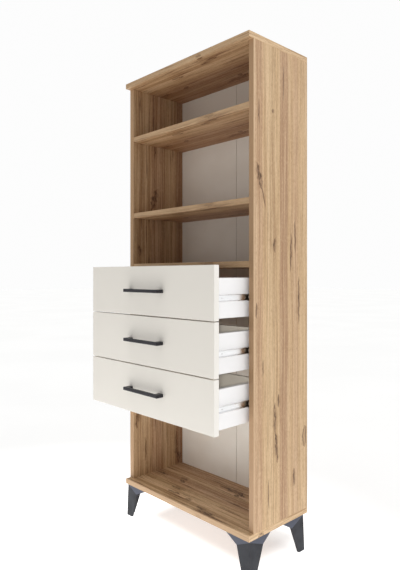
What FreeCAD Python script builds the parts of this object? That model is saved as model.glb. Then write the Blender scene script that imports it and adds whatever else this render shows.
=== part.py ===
"""Tall bookcase with three drawers, in millimetres.

+X is to the right seen from the front, +Y to the back and +Z up. The origin is on the floor, in the
middle of the room that the bookcase takes up with its drawers standing open as they rest here.
"""
import FreeCAD
import Part
import math
import os
import re
import Sketcher

# Driving sizes: name, value, meaning.
SIZES = (
    ("body_width", 600, "case over its side panels"),
    ("body_height", 1465, "case from underside of bottom panel to top of top panel"),
    ("side_depth", 262, "side panels from front to back"),
    ("front_overhang", 19.5, "top and bottom panels stand ahead of the sides"),
    ("board", 18, "case boards, thickness"),
    ("edge_round", 1, "edge banding, radius"),
    ("back_setback", 20, "rear edge of the sides to the front of the back board"),
    ("back_board", 3, "back board, thickness"),
    ("groove_depth", 8, "groove that holds the back board"),
    ("groove_play", 0.3, "back board to rear wall of its groove"),
    ("back_play", 0.5, "back board to floor of its groove"),
    ("seam_offset", 10, "fold of the back board, to the right of the middle"),
    ("seam_gap", 1.5, "fold of the back board, width"),
    ("tape_width", 30, "fold tape, width"),
    ("tape_thickness", 0.3, "fold tape, thickness"),
    ("upper_shelf_height", 1252.5, "underside of upper shelf above underside of case"),
    ("middle_shelf_height", 973.5, "underside of middle shelf above underside of case"),
    ("drawer_shelf_height", 787.5, "underside of shelf over the drawers above underside of case"),
    ("shelf_setback", 2, "shelf edge behind the edge of the sides"),
    ("shelf_play", 0.5, "shelf to back board"),
    ("cam_diameter", 15, "shelf cam"),
    ("cam_height", 12.5, "shelf cam"),
    ("cam_play", 0.2, "shelf cam to its pocket"),
    ("cam_reach", 34, "cam axis from the end of the shelf"),
    ("cam_inset", 42, "cam axis from the front and rear edges of the shelf"),
    ("bolt_diameter", 6, "cam bolt"),
    ("bolt_bite", 9, "cam bolt in the side panel"),
    ("bolt_play", 1, "cam bolt to its bore"),
    ("case_screw_inset", 45, "case screws from the front edge and the groove"),
    ("case_screw_head", 10, "case screw head, diameter"),
    ("case_screw_head_height", 2, "case screw head"),
    ("case_screw_shank", 6, "case screw shank, diameter"),
    ("case_screw_length", 50, "case screw over all"),
    ("head_play", 0.3, "screw head to its recess"),
    ("leg_height", 115, "legs, floor to case"),
    ("leg_inset_side", 5, "leg corner from the end of the bottom panel"),
    ("leg_inset_front", 7.5, "front leg corner from the front of the bottom panel"),
    ("leg_inset_rear", 15, "rear leg corner from the rear of the bottom panel"),
    ("leg_splay", 3, "foot stands out past the top of the leg"),
    ("leg_wall", 8, "leg wings, thickness"),
    ("foot_width", 28, "leg wing at the floor"),
    ("front_knee", 50, "leg wing along the front, at the knee"),
    ("side_knee", 60, "leg wing along the side, at the knee"),
    ("knee_drop", 28, "knee below the case"),
    ("corner_drop", 5, "crease of the flare below the case at the leg's corner"),
    ("flare_width", 105, "leg wing where it meets the case"),
    ("flare_lip", 2.5, "tip of the flare, height"),
    ("flare_setback", 4, "flare leans back at the case"),
    ("leg_plate", 4, "leg fixing plate, thickness"),
    ("plate_cut", 10, "leg fixing plate, short of the tips of the flare"),
    ("leg_screw_near", 20, "leg screws from the leg's corner, short way"),
    ("leg_screw_far", 58, "leg screws from the leg's corner, long way"),
    ("leg_screw_head", 8, "leg screw head, diameter"),
    ("leg_screw_head_height", 2, "leg screw head"),
    ("leg_screw_shank", 4, "leg screw shank, diameter"),
    ("leg_screw_length", 18, "leg screw over all"),
    ("leg_hole_play", 0.8, "leg screw to its hole"),
    ("front_board", 18, "drawer front, thickness"),
    ("front_gap", 1.5, "closed drawer front to the edge of the sides"),
    ("front_side_gap", 1, "drawer front short of the case at each end"),
    ("front_height", 152, "drawer front"),
    ("front_spacing", 3, "between drawer fronts"),
    ("front_cover", 4.5, "top drawer front over the edge of the shelf"),
    ("rest_margin", 10, "drawers rest this far short of fully open"),
    ("box_board", 12, "drawer box boards, thickness"),
    ("box_height", 113, "drawer box"),
    ("box_lift", 3.5, "drawer box above the lower edge of its front"),
    ("box_depth", 232, "drawer box behind its front"),
    ("bottom_board", 3, "drawer bottom, thickness"),
    ("bottom_lift", 10, "drawer bottom above the lower edge of the box"),
    ("bottom_groove", 6, "groove that holds the drawer bottom"),
    ("bottom_play", 0.4, "drawer bottom to the floor and roof of its groove"),
    ("box_bolt_inset", 25, "front and back bolts from the edges of the box"),
    ("box_bolt_diameter", 5, "bolt in the drawer box"),
    ("box_bolt_bite", 10, "front bolt in the drawer front"),
    ("box_bolt_length", 34, "bolt in the drawer box"),
    ("box_bolt_cover", 4, "wood left over the outer end of a back bolt"),
    ("slide_space", 10.5, "drawer box to side panel"),
    ("slide_length", 214, "slide members"),
    ("runner_setback", 2, "runner behind the edge of the sides"),
    ("rail_setback", 2, "rail behind the drawer front"),
    ("runner_height", 27, "runner"),
    ("slide_sheet", 1.2, "slide members, thickness"),
    ("ball_diameter", 3.5, "slide balls"),
    ("ball_play", 0.15, "ball to its races"),
    ("lip_angle", 20, "runner lip ends this far above the middle of the ball, degrees"),
    ("race_angle", 45, "rail race reaches to each side of the ball, degrees below the middle"),
    ("cage_length", 59.5, "ball cage"),
    ("cage_sheet", 0.4, "ball cage, thickness"),
    ("cage_gap", 1.25, "ball cage to the web of the runner"),
    ("cage_rim", 0.7, "ball cage past the ball"),
    ("stop_height", 8, "stop tabs at the front of a runner and the rear of a rail"),
    ("stop_play", 0.3, "stop tab to ball cage with the drawer fully open, and to the runner's screws"),
    ("window_play", 0.3, "ball to its window in the cage"),
    ("ball_spacing", 20, "between balls"),
    ("slide_screw_head", 6.5, "slide screw head, diameter"),
    ("slide_screw_head_height", 1, "slide screw head"),
    ("slide_screw_shank", 3.5, "slide screw shank, diameter"),
    ("slide_screw_length", 11, "slide screw over all"),
    ("slide_hole_play", 0.8, "slide screw to its hole"),
    ("slide_screw_front", 15, "first slide screw from the front end"),
    ("slide_screw_pitch", 160, "between the screws of a slide member"),
    ("slot_spacing", 22, "oval hole behind the first screw of a rail"),
    ("slot_length", 9, "oval hole, end to end"),
    ("handle_length", 169, "handle over all"),
    ("handle_pitch", 160, "between handle screws"),
    ("handle_reach", 25, "handle ahead of the drawer front"),
    ("handle_height", 10, "handle bar"),
    ("handle_thickness", 9, "handle bar, front to back"),
    ("handle_foot", 18, "handle post where it meets the front"),
    ("handle_shoulder", 20, "handle post where it meets the bar"),
    ("handle_corner", 2, "handle corners, radius"),
    ("handle_bevel", 1.2, "handle edges, bevel"),
    ("handle_screw_head", 8, "handle screw head, diameter"),
    ("handle_screw_head_height", 2, "handle screw head"),
    ("handle_screw_shank", 4, "handle screw shank, diameter"),
    ("handle_screw_length", 30, "handle screw over all"),
    ("handle_hole_play", 0.8, "handle screw to its hole"),
)

# Places worked out from the driving sizes.
HALF_WIDTH = "(body_width / 2)"
INNER_HALF = "(body_width / 2 - board)"
BACK_FRONT = "(side_depth - back_setback)"
CAGE_ROOM = "(2 * slide_sheet + 2 * stop_play + cage_length)"
TRAVEL = f"(slide_length + rail_setback - front_gap - runner_setback - {CAGE_ROOM})"
OPENING = f"({TRAVEL} - rest_margin)"
CASE_FRONT = f"((front_gap + front_board + {OPENING} + handle_reach - side_depth) / 2)"
CASE_FRAME = ("0", CASE_FRONT, "leg_height")
SHELF_FRONT = "shelf_setback"
SHELF_REAR = f"({BACK_FRONT} - shelf_play)"
BOX_HALF = f"({INNER_HALF} - slide_space)"
BOX_INNER = f"({BOX_HALF} - box_board)"
DRAWER_FRONT = f"({CASE_FRONT} - front_gap - {OPENING})"
SLIDE_MIDDLE = "(box_lift + box_height / 2)"
BALL_LINE = "(slide_space / 2)"
RACE = "(ball_diameter / 2 + ball_play)"
RACE_OUTER = f"({RACE} + slide_sheet)"
BALL_HEIGHT = f"(runner_height / 2 - {RACE_OUTER})"
LEG_STRETCH = "sqrt(1 + (leg_splay / leg_height) ^ 2)"
CAGE_WEB = "(slide_sheet + cage_gap)"
CAGE_START = "(runner_setback + slide_sheet + stop_play + rest_margin / 2)"

DRAWERS = ("upper", "middle", "lower")
SHELVES = ("upper", "middle", "drawer")

ACROSS = FreeCAD.Vector(1, 0, 0)
ALONG = FreeCAD.Vector(0, 1, 0)
UP = FreeCAD.Vector(0, 0, 1)
TOUCH = 0.001

# Small rounds that repeat have a few flat sides.
HEAD_SIDES = 10
CAM_SIDES = 12
HOLE_SIDES = 8
FULL_TURN = 360

doc = FreeCAD.newDocument("Bookcase")
sheet = doc.addObject("Spreadsheet::Sheet", "Sizes")
for row, (size_name, amount, meaning) in enumerate(SIZES, 1):
    sheet.set(f"A{row}", size_name)
    sheet.set(f"B{row}", str(amount))
    sheet.set(f"C{row}", meaning)
    sheet.setAlias(f"B{row}", size_name)
doc.recompute()
SIZE_NAMES = {size_name for size_name, amount, meaning in SIZES}
nodes = []


def sized(text):
    """The expression with every size name pointed at its cell."""
    def cell(word):
        return f"Sizes.{word.group()}" if word.group() in SIZE_NAMES else word.group()

    return re.sub(r"[a-z_]+", cell, text)


def value(text):
    """What an expression of sizes comes to."""
    return float(sheet.evalExpression(sized(text)))


def near(first, second):
    """Whether two lengths are the same."""
    return abs(first - second) < TOUCH


def node(piece, label):
    """Name a finished piece and keep it for hand-over."""
    piece.Label = label
    nodes.append(piece)
    return piece


def place(piece, x, y, z):
    """Bind the place of a piece to sizes."""
    for axis, text in zip("xyz", (x, y, z)):
        piece.setExpression(f"Placement.Base.{axis}", sized(text))


def new_body(name, frame):
    """An empty body in the given frame."""
    body = doc.addObject("PartDesign::Body", name)
    place(body, *frame)
    return body


def new_sketch(body, plane, height="0"):
    """A sketch on one of the body's planes, moved along the plane's normal."""
    sketch = body.newObject("Sketcher::SketchObject", "Sketch")
    support = next(feature for feature in body.Origin.OriginFeatures if feature.Role == plane + "_Plane")
    sketch.AttachmentSupport = [(support, "")]
    sketch.MapMode = "FlatFace"
    sketch.setExpression("AttachmentOffset.Base.z", sized(height))
    return sketch


def bind(sketch, kind, point, text):
    """Hold a point of a sketch at a sized distance from the sketch's origin."""
    geometry, end = point
    number = sketch.addConstraint(Sketcher.Constraint(kind, -1, 1, geometry, end, value(text)))
    sketch.setExpression(f"Constraints[{number}]", sized(text))


def arc_edge(sketch, start, end, radius_text, turn):
    """An arc of less than a half circle that turns left (1) or right (-1)."""
    radius = value(radius_text)
    half = (end - start) * 0.5
    left = FreeCAD.Vector(-half.y, half.x, 0).normalize()
    centre = start + half + left * (turn * math.sqrt(max(radius ** 2 - half.Length ** 2, 0)))
    first = math.atan2(start.y - centre.y, start.x - centre.x)
    last = math.atan2(end.y - centre.y, end.x - centre.x)
    if turn < 0:
        first, last = last, first
    if last < first:
        last += 2 * math.pi
    arc = sketch.addGeometry(Part.ArcOfCircle(Part.Circle(centre, UP, radius), first, last))
    number = sketch.addConstraint(Sketcher.Constraint("Radius", arc, radius))
    sketch.setExpression(f"Constraints[{number}]", sized(radius_text))
    return (arc, 1, 2) if turn > 0 else (arc, 2, 1)


def outline(sketch, corners):
    """A closed outline. A corner is (x, y), or (x, y, radius, turn) where an arc leaves it."""
    places = [FreeCAD.Vector(value(corner[0]), value(corner[1]), 0) for corner in corners]
    edges = []
    for corner, start, end in zip(corners, places, places[1:] + places[:1]):
        if len(corner) == 2:
            edges.append((sketch.addGeometry(Part.LineSegment(start, end)), 1, 2))
        else:
            edges.append(arc_edge(sketch, start, end, corner[2], corner[3]))
    for corner, edge, following in zip(corners, edges, edges[1:] + edges[:1]):
        sketch.addConstraint(Sketcher.Constraint("Coincident", edge[0], edge[2], following[0], following[1]))
        bind(sketch, "DistanceX", edge[:2], corner[0])
        bind(sketch, "DistanceY", edge[:2], corner[1])


def rectangle(sketch, left, low, right, high):
    """A rectangle given by its edges."""
    outline(sketch, ((left, low), (right, low), (right, high), (left, high)))


def rounds(sketch, centres, diameter, sides):
    """Equal many-sided outlines whose corners lie on a circle."""
    radius = f"({diameter}) / 2"
    angles = [FULL_TURN * step / sides for step in range(sides)]
    for x, y in centres:
        corners = [(f"{x} + {radius} * cos({turn})", f"{y} + {radius} * sin({turn})") for turn in angles]
        outline(sketch, corners)


def pad(body, sketch, length, reverse=False):
    """Material along the sketch's normal, or against it."""
    feature = body.newObject("PartDesign::Pad", "Pad")
    feature.Profile = sketch
    feature.Reversed = reverse
    feature.setExpression("Length", sized(length))
    return feature


def pocket(body, sketch, depth, reverse=False, sides="One side"):
    """A cut against the sketch's normal, along it or both ways; it has to take material away."""
    doc.recompute()
    before = body.Shape.Volume
    feature = body.newObject("PartDesign::Pocket", "Pocket")
    feature.Profile = sketch
    feature.Reversed = reverse
    feature.SideType = sides
    feature.setExpression("Length", sized(depth))
    doc.recompute()
    if body.Shape.Volume > before - TOUCH:
        raise RuntimeError(f"a cut in {body.Label} takes nothing away")
    return feature


def edge_names(feature, chosen):
    """Names of the edges of a feature whose middles are chosen."""
    doc.recompute()
    edges = enumerate(feature.Shape.Edges, 1)
    return [f"Edge{number}" for number, edge in edges if chosen(edge.CenterOfMass)]


def rounded(body, feature, radius, chosen):
    """Round the chosen edges of a feature."""
    names = edge_names(feature, chosen)
    fillet = body.newObject("PartDesign::Fillet", "Fillet")
    fillet.Base = (feature, names)
    fillet.setExpression("Radius", sized(radius))


def bevelled(body, feature, width, chosen):
    """Bevel the chosen edges of a feature."""
    names = edge_names(feature, chosen)
    chamfer = body.newObject("PartDesign::Chamfer", "Chamfer")
    chamfer.Base = (feature, names)
    chamfer.setExpression("Size", sized(width))


def reflected(source, label, normal=ACROSS, depth="0"):
    """The mirror image of a piece across the middle, or across an upright plane at a sized depth."""
    image = doc.addObject("Part::Mirroring", label)
    image.Source = source
    image.Normal = normal
    image.setExpression("Base.y", sized(depth))
    return image


def mirrored(source, label, normal=ACROSS, depth="0"):
    """The mirror image of a piece, as a piece of its own."""
    return node(reflected(source, label, normal, depth), label)


def aimed(piece, where, direction):
    """Put a piece drawn along +Z at a sized place, aimed along a direction."""
    piece.Placement = FreeCAD.Placement(FreeCAD.Vector(), FreeCAD.Rotation(UP, FreeCAD.Vector(*direction)))
    place(piece, *where)
    return piece


def shaft(diameter, length, sides=6):
    """A shaft along +Z with flat sides."""
    prism = doc.addObject("Part::Prism", "Shaft")
    prism.Polygon = sides
    prism.setExpression("Circumradius", sized(f"({diameter}) / 2"))
    prism.setExpression("Height", sized(length))
    return prism


def bolt(diameter, length, where, direction):
    """A bolt with no head."""
    return aimed(shaft(diameter, length), where, direction)


def screw(kind, where, direction):
    """A screw of the given kind: the top of its head is at the place, and it points along the direction."""
    head = shaft(f"{kind}_head", f"{kind}_head_height", HEAD_SIDES)
    shank = shaft(f"{kind}_shank", f"{kind}_length - {kind}_head_height")
    place(shank, "0", "0", f"{kind}_head_height")
    whole = doc.addObject("Part::Fuse", "Screw")
    whole.Base = head
    whole.Tool = shank
    return aimed(whole, where, direction)


def group(label, pieces):
    """Loose pieces of one kind under one name."""
    compound = doc.addObject("Part::Compound", label)
    compound.Links = pieces
    return node(compound, label)


def in_frame(frame, x, y, z):
    """A place in a frame, as a place in the model."""
    return tuple(f"({origin}) + ({text})" for origin, text in zip(frame, (x, y, z)))


def case_screw_places():
    """Rows of case screws from front to back."""
    return ("case_screw_inset", f"{BACK_FRONT} - case_screw_inset")


def end_panel(label, low, groove_low, head_height, head_into):
    """A top or bottom panel, with the groove for the back board and recesses for its screw heads."""
    body = new_body(label, CASE_FRAME)
    sketch = new_sketch(body, "XY", low)
    rectangle(sketch, f"-{HALF_WIDTH}", "-front_overhang", HALF_WIDTH, "side_depth")
    slab = pad(body, sketch, "board")
    middle = value(low) + value("board") / 2
    rear = value("side_depth")
    rounded(body, slab, "edge_round", lambda spot: not near(spot.z, middle) and not near(spot.y, rear))
    groove_end = f"({INNER_HALF} + groove_depth)"
    groove = new_sketch(body, "YZ", f"-{groove_end}")
    groove_rear = f"{BACK_FRONT} + back_board + groove_play"
    rectangle(groove, BACK_FRONT, groove_low, groove_rear, f"{groove_low} + groove_depth")
    pocket(body, groove, f"2 * {groove_end}", True)
    heads = new_sketch(body, "XY", head_height)
    centres = [(f"{side} * ({HALF_WIDTH} - board / 2)", y) for side in (-1, 1) for y in case_screw_places()]
    rounds(heads, centres, "case_screw_head + 2 * head_play", HEAD_SIDES)
    pocket(body, heads, "case_screw_head_height", head_into > 0)
    return node(body, label)


def side_panels():
    """The two sides, with the groove for the back board down their inner faces."""
    body = new_body("left_side_panel", CASE_FRAME)
    sketch = new_sketch(body, "YZ", f"-{HALF_WIDTH}")
    rectangle(sketch, "0", "board", "side_depth", "body_height - board")
    slab = pad(body, sketch, "board")
    middle = value("body_height") / 2
    rounded(body, slab, "edge_round", lambda spot: near(spot.y, 0) and near(spot.z, middle))
    groove = new_sketch(body, "XY", "board")
    groove_rear = f"{BACK_FRONT} + back_board + groove_play"
    rectangle(groove, f"-{INNER_HALF} - groove_depth", BACK_FRONT, f"-{INNER_HALF}", groove_rear)
    pocket(body, groove, "body_height - 2 * board", True)
    left = node(body, "left_side_panel")
    mirrored(left, "right_side_panel")


def cam_rows():
    """Rows of shelf cams from front to back."""
    return (f"{SHELF_FRONT} + cam_inset", f"{SHELF_REAR} - cam_inset")


def cam_places():
    """Cam axes of one shelf, seen from above."""
    return [(f"{side} * ({INNER_HALF} - cam_reach)", y) for side in (-1, 1) for y in cam_rows()]


def shelf(name):
    """A shelf with cam pockets on the face that shows least, and bores for the cam bolts."""
    low = f"{name}_shelf_height"
    body = new_body(f"{name}_shelf", CASE_FRAME)
    sketch = new_sketch(body, "XY", low)
    rectangle(sketch, f"-{INNER_HALF}", SHELF_FRONT, INNER_HALF, SHELF_REAR)
    slab = pad(body, sketch, "board")
    front = value(SHELF_FRONT)
    rounded(body, slab, "edge_round", lambda spot: near(spot.y, front) and near(spot.x, 0))
    below = name == "drawer"
    pockets = new_sketch(body, "XY", low if below else f"{low} + board")
    rounds(pockets, cam_places(), "cam_diameter + 2 * cam_play", CAM_SIDES)
    pocket(body, pockets, "cam_height", below)
    for side in (-1, 1):
        bores = new_sketch(body, "YZ", f"{side} * {INNER_HALF}")
        centres = [(y, f"{low} + board / 2") for y in cam_rows()]
        rounds(bores, centres, "bolt_diameter + bolt_play", HOLE_SIDES)
        pocket(body, bores, "cam_reach", side < 0)
    return node(body, f"{name}_shelf")


def shelf_fittings():
    """Cams in the shelves and the bolts that they draw in from the sides."""
    cams = new_body("shelf_cams", CASE_FRAME)
    bolts = []
    for name in SHELVES:
        low = f"{name}_shelf_height"
        below = name == "drawer"
        sketch = new_sketch(cams, "XY", low if below else f"{low} + board - cam_height")
        rounds(sketch, cam_places(), "cam_diameter", CAM_SIDES)
        pad(cams, sketch, "cam_height")
        length = "bolt_bite + cam_reach - cam_diameter / 2 - cam_play"
        for side in (-1, 1):
            tip = f"{side} * ({INNER_HALF} + bolt_bite)"
            for y in cam_rows():
                where = in_frame(CASE_FRAME, tip, y, f"{low} + board / 2")
                bolts.append(bolt("bolt_diameter", length, where, (-side, 0, 0)))
    node(cams, "shelf_cams")
    group("shelf_cam_bolts", bolts)


def back_boards():
    """The two leaves of the back board in their grooves, and the tape over the fold behind them."""
    edge = f"({INNER_HALF} + groove_depth - back_play)"
    low = "board - groove_depth + back_play"
    high = "body_height - board + groove_depth - back_play"
    leaves = {
        "back_board_left": (f"-{edge}", "seam_offset - seam_gap / 2"),
        "back_board_right": ("seam_offset + seam_gap / 2", edge),
    }
    for label, (left, right) in leaves.items():
        body = new_body(label, CASE_FRAME)
        sketch = new_sketch(body, "XZ", f"-{BACK_FRONT}")
        rectangle(sketch, left, low, right, high)
        pad(body, sketch, "back_board", True)
        node(body, label)
    tape = new_body("back_fold_tape", CASE_FRAME)
    sketch = new_sketch(tape, "XZ", f"-{BACK_FRONT} - back_board")
    left = "seam_offset - tape_width / 2"
    right = "seam_offset + tape_width / 2"
    rectangle(sketch, left, "board", right, "body_height - board")
    pad(tape, sketch, "tape_thickness", True)
    node(tape, "back_fold_tape")


def case_screws():
    """Screws down through the top panel and up through the bottom panel into the ends of the sides."""
    screws = []
    for side in (-1, 1):
        for y in case_screw_places():
            x = f"{side} * ({HALF_WIDTH} - board / 2)"
            screws.append(screw("case_screw", in_frame(CASE_FRAME, x, y, "body_height"), (0, 0, -1)))
            screws.append(screw("case_screw", in_frame(CASE_FRAME, x, y, "0"), (0, 0, 1)))
    group("case_screws", screws)


def leg_wing(body, plane, thickening, outward, knee_width):
    """One wing of a leg: a slab drawn on a plane that leans out to the foot."""
    sketch = new_sketch(body, plane)
    sketch.AttachmentOffset = FreeCAD.Placement(FreeCAD.Vector(), leg_lean(outward))
    knee = f"-knee_drop * {LEG_STRETCH}"
    floor = f"-leg_height * {LEG_STRETCH}"
    outline(sketch, (
        ("0", "0"),
        ("flare_width", "0"),
        ("flare_width", "-flare_lip"),
        (knee_width, knee),
        ("foot_width - leg_splay", floor),
        ("-leg_splay", floor),
    ))
    slab = pad(body, sketch, "leg_wall")
    slab.UseCustomVector = True
    slab.Direction = thickening
    slab.AlongSketchNormal = False


def leg_lean(outward):
    """Turn of a wing's plane about its upper edge."""
    lean = math.degrees(math.atan2(value("leg_splay"), value("leg_height")))
    return FreeCAD.Rotation(ACROSS, -outward * lean)


def leg_crease(body, plane, outward, knee_width):
    """Fold a wing's flare back: a wedge is cut off its outer face, above a slanted crease."""
    crease = math.atan2(value("knee_drop - corner_drop"), value(knee_width))
    upward = FreeCAD.Vector(math.sin(crease), math.cos(crease), 0)
    inward = FreeCAD.Vector(0, 0, -outward)
    across_crease = FreeCAD.Rotation(upward, inward, upward.cross(inward), "XYZ")
    sketch = new_sketch(body, plane, f"{outward} * corner_drop * leg_splay / leg_height")
    sketch.AttachmentOffset = FreeCAD.Placement(FreeCAD.Vector(), leg_lean(outward).multiply(across_crease))
    sketch.setExpression("AttachmentOffset.Base.y", sized("-corner_drop"))
    reach = f"(flare_width * (knee_drop - corner_drop) + corner_drop * {knee_width})"
    reach = f"{reach} / sqrt({knee_width} ^ 2 + (knee_drop - corner_drop) ^ 2)"
    outline(sketch, (("0", "0"), (f"2 * {reach}", "-leg_wall"), (f"2 * {reach}", "2 * flare_setback")))
    pocket(body, sketch, "4 * flare_width", False, "Symmetric")


def legs():
    """Four corner legs of two tapered wings each, with a fixing plate between the wings, and their screws."""
    corner_x = f"leg_inset_side - {HALF_WIDTH}"
    corner_y = "leg_inset_front - front_overhang"
    frame = in_frame(CASE_FRAME, corner_x, corner_y, "0")
    body = new_body("front_left_leg", frame)
    leg_wing(body, "XZ", ALONG, 1, "front_knee")
    leg_wing(body, "YZ", ACROSS, -1, "side_knee")
    leg_crease(body, "XZ", 1, "front_knee")
    leg_crease(body, "YZ", -1, "side_knee")
    plate = new_sketch(body, "XY")
    near_edge = "leg_wall / 2"
    far_edge = "flare_width - plate_cut"
    outline(plate, ((near_edge, near_edge), (far_edge, near_edge), (near_edge, far_edge)))
    pad(body, plate, "leg_plate", True)
    spots = (("leg_screw_near", "leg_screw_far"), ("leg_screw_far", "leg_screw_near"))
    holes = new_sketch(body, "XY")
    rounds(holes, spots, "leg_screw_shank + leg_hole_play", HOLE_SIDES)
    pocket(body, holes, "leg_plate")
    front_left = node(body, "front_left_leg")
    mid_depth = f"({CASE_FRONT} + (side_depth - leg_inset_rear + {corner_y}) / 2)"
    mirrored(front_left, "front_right_leg")
    rear_left = mirrored(front_left, "rear_left_leg", ALONG, mid_depth)
    mirrored(rear_left, "rear_right_leg")
    screws = []
    for side in (-1, 1):
        for x, y in spots:
            across = f"{side} * ({HALF_WIDTH} - leg_inset_side - {x})"
            below = "-leg_plate - leg_screw_head_height"
            for depth in (f"{corner_y} + {y}", f"side_depth - leg_inset_rear - {y}"):
                screws.append(screw("leg_screw", in_frame(CASE_FRAME, across, depth, below), (0, 0, 1)))
    group("leg_screws", screws)


def drawer_low(number):
    """Lower edge of a drawer front above the underside of the case, counted from the top."""
    return f"(drawer_shelf_height + front_cover - front_height - {number} * (front_height + front_spacing))"


def drawer_frame(number):
    """Frame of a drawer: middle of its width, rear face of its front, lower edge of its front."""
    return ("0", DRAWER_FRONT, f"(leg_height + {drawer_low(number)})")


def drawer_front(name, frame):
    """An overlay front with holes for the handle and a groove for the drawer bottom."""
    label = f"{name}_drawer_front"
    body = new_body(label, frame)
    sketch = new_sketch(body, "XZ")
    edge = f"({HALF_WIDTH} - front_side_gap)"
    rectangle(sketch, f"-{edge}", "0", edge, "front_height")
    slab = pad(body, sketch, "front_board")
    face = -value("front_board")
    rounded(body, slab, "edge_round", lambda spot: near(spot.y, face))
    holes = new_sketch(body, "XZ")
    centres = [(f"{side} * handle_pitch / 2", "front_height / 2") for side in (-1, 1)]
    rounds(holes, centres, "handle_screw_shank + handle_hole_play", HOLE_SIDES)
    pocket(body, holes, "front_board", True)
    groove = new_sketch(body, "XZ")
    end = f"({BOX_INNER} + bottom_groove)"
    low = "box_lift + bottom_lift"
    rectangle(groove, f"-{end}", low, end, f"{low} + bottom_board + bottom_play")
    pocket(body, groove, "bottom_groove", True)
    node(body, label)


def drawer_box(name, frame):
    """Two sides, a back that stands on the bottom, and the bottom in its grooves."""
    label = f"{name}_drawer_left_side"
    side = new_body(label, frame)
    sketch = new_sketch(side, "YZ", f"-{BOX_HALF}")
    rectangle(sketch, "0", "box_lift", "box_depth", "box_lift + box_height")
    pad(side, sketch, "box_board")
    groove = new_sketch(side, "XZ")
    low = "box_lift + bottom_lift"
    roof = f"{low} + bottom_board + bottom_play"
    rectangle(groove, f"-{BOX_INNER} - bottom_groove", low, f"-{BOX_INNER}", roof)
    pocket(side, groove, "box_depth")
    mirrored(node(side, label), f"{name}_drawer_right_side")
    label = f"{name}_drawer_back"
    back = new_body(label, frame)
    sketch = new_sketch(back, "XZ", "box_board - box_depth")
    rectangle(sketch, f"-{BOX_INNER}", f"{low} + bottom_board", BOX_INNER, "box_lift + box_height")
    pad(back, sketch, "box_board", True)
    node(back, label)
    label = f"{name}_drawer_bottom"
    floor = new_body(label, frame)
    sketch = new_sketch(floor, "XY", low)
    edge = f"({BOX_INNER} + bottom_groove - bottom_play)"
    rectangle(sketch, f"-{edge}", "bottom_play - bottom_groove", edge, "box_depth")
    pad(floor, sketch, "bottom_board")
    node(floor, label)


def handle(name, frame):
    """A bow handle: a bar on two posts that widen towards it, drawn in plan."""
    label = f"{name}_drawer_handle"
    body = new_body(label, frame)
    sketch = new_sketch(body, "XY", "front_height / 2 - handle_height / 2")
    end = "handle_length / 2"
    rear = "-front_board"
    face = "(-front_board - handle_reach)"
    bar = f"{face} + handle_thickness"
    outline(sketch, (
        (f"-{end}", rear),
        (f"-{end}", f"{face} + handle_corner", "handle_corner", 1),
        (f"-{end} + handle_corner", face),
        (f"{end} - handle_corner", face, "handle_corner", 1),
        (end, f"{face} + handle_corner"),
        (end, rear),
        (f"{end} - handle_foot", rear),
        (f"{end} - handle_shoulder", bar),
        (f"handle_shoulder - {end}", bar),
        (f"handle_foot - {end}", rear),
    ))
    block = pad(body, sketch, "handle_height")
    front = value(face)
    middle = value("front_height") / 2
    bevelled(body, block, "handle_bevel", lambda spot: near(spot.y, front) and not near(spot.z, middle))
    node(body, label)


def rail(name, frame):
    """Drawer members of the two slides: a web on the box side, two flanges rolled into races, a stop tab."""
    label = f"{name}_left_rail"
    body = new_body(label, in_frame(frame, f"-{INNER_HALF}", "rail_setback", SLIDE_MIDDLE))
    web = "(slide_space - slide_sheet)"
    swing = "cos(race_angle)"
    drop = "sin(race_angle)"
    top = f"({BALL_HEIGHT} - {RACE} * {drop})"
    under = f"({BALL_HEIGHT} - {RACE_OUTER} * {drop})"
    half = (
        ("slide_space", top),
        (f"{BALL_LINE} + {RACE} * {swing}", top, RACE, -1),
        (f"{BALL_LINE} - {RACE} * {swing}", top),
        (f"{BALL_LINE} - {RACE_OUTER} * {swing}", under, RACE_OUTER, 1),
        (f"{BALL_LINE} + {RACE_OUTER} * {swing}", under),
        (web, under),
    )
    lower = (
        (web, f"-{under}"),
        (f"{BALL_LINE} + {RACE_OUTER} * {swing}", f"-{under}", RACE_OUTER, 1),
        (f"{BALL_LINE} - {RACE_OUTER} * {swing}", f"-{under}"),
        (f"{BALL_LINE} - {RACE} * {swing}", f"-{top}", RACE, -1),
        (f"{BALL_LINE} + {RACE} * {swing}", f"-{top}"),
        ("slide_space", f"-{top}"),
    )
    sketch = new_sketch(body, "XZ")
    outline(sketch, half + lower)
    pad(body, sketch, "slide_length", True)
    holes = new_sketch(body, "YZ", "slide_space")
    rounds(holes, slide_screw_places(), "slide_screw_shank + slide_hole_play", HOLE_SIDES)
    slot_front = "slide_screw_front + slot_spacing - slot_length / 2 + slide_screw_shank / 2"
    slot_rear = "slide_screw_front + slot_spacing + slot_length / 2 - slide_screw_shank / 2"
    slot_half = "slide_screw_shank / 2"
    outline(holes, (
        (slot_front, f"-{slot_half}"),
        (slot_rear, f"-{slot_half}", slot_half, 1),
        (f"{slot_rear} + {slot_half}", "0", slot_half, 1),
        (slot_rear, slot_half),
        (slot_front, slot_half, slot_half, 1),
        (f"{slot_front} - {slot_half}", "0", slot_half, 1),
    ))
    pocket(body, holes, "slide_sheet")
    stop = new_sketch(body, "XZ", "-slide_length")
    tip = "slide_sheet + slide_screw_head_height + stop_play"
    rectangle(stop, tip, "-stop_height / 2", "slide_space", "stop_height / 2")
    pad(body, stop, "slide_sheet")
    mirrored(node(body, label), f"{name}_right_rail")


def slide_screw_places():
    """Screws of a slide member: from its front end, and about its middle height."""
    return (("slide_screw_front", "0"), ("slide_screw_front + slide_screw_pitch", "0"))


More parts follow.
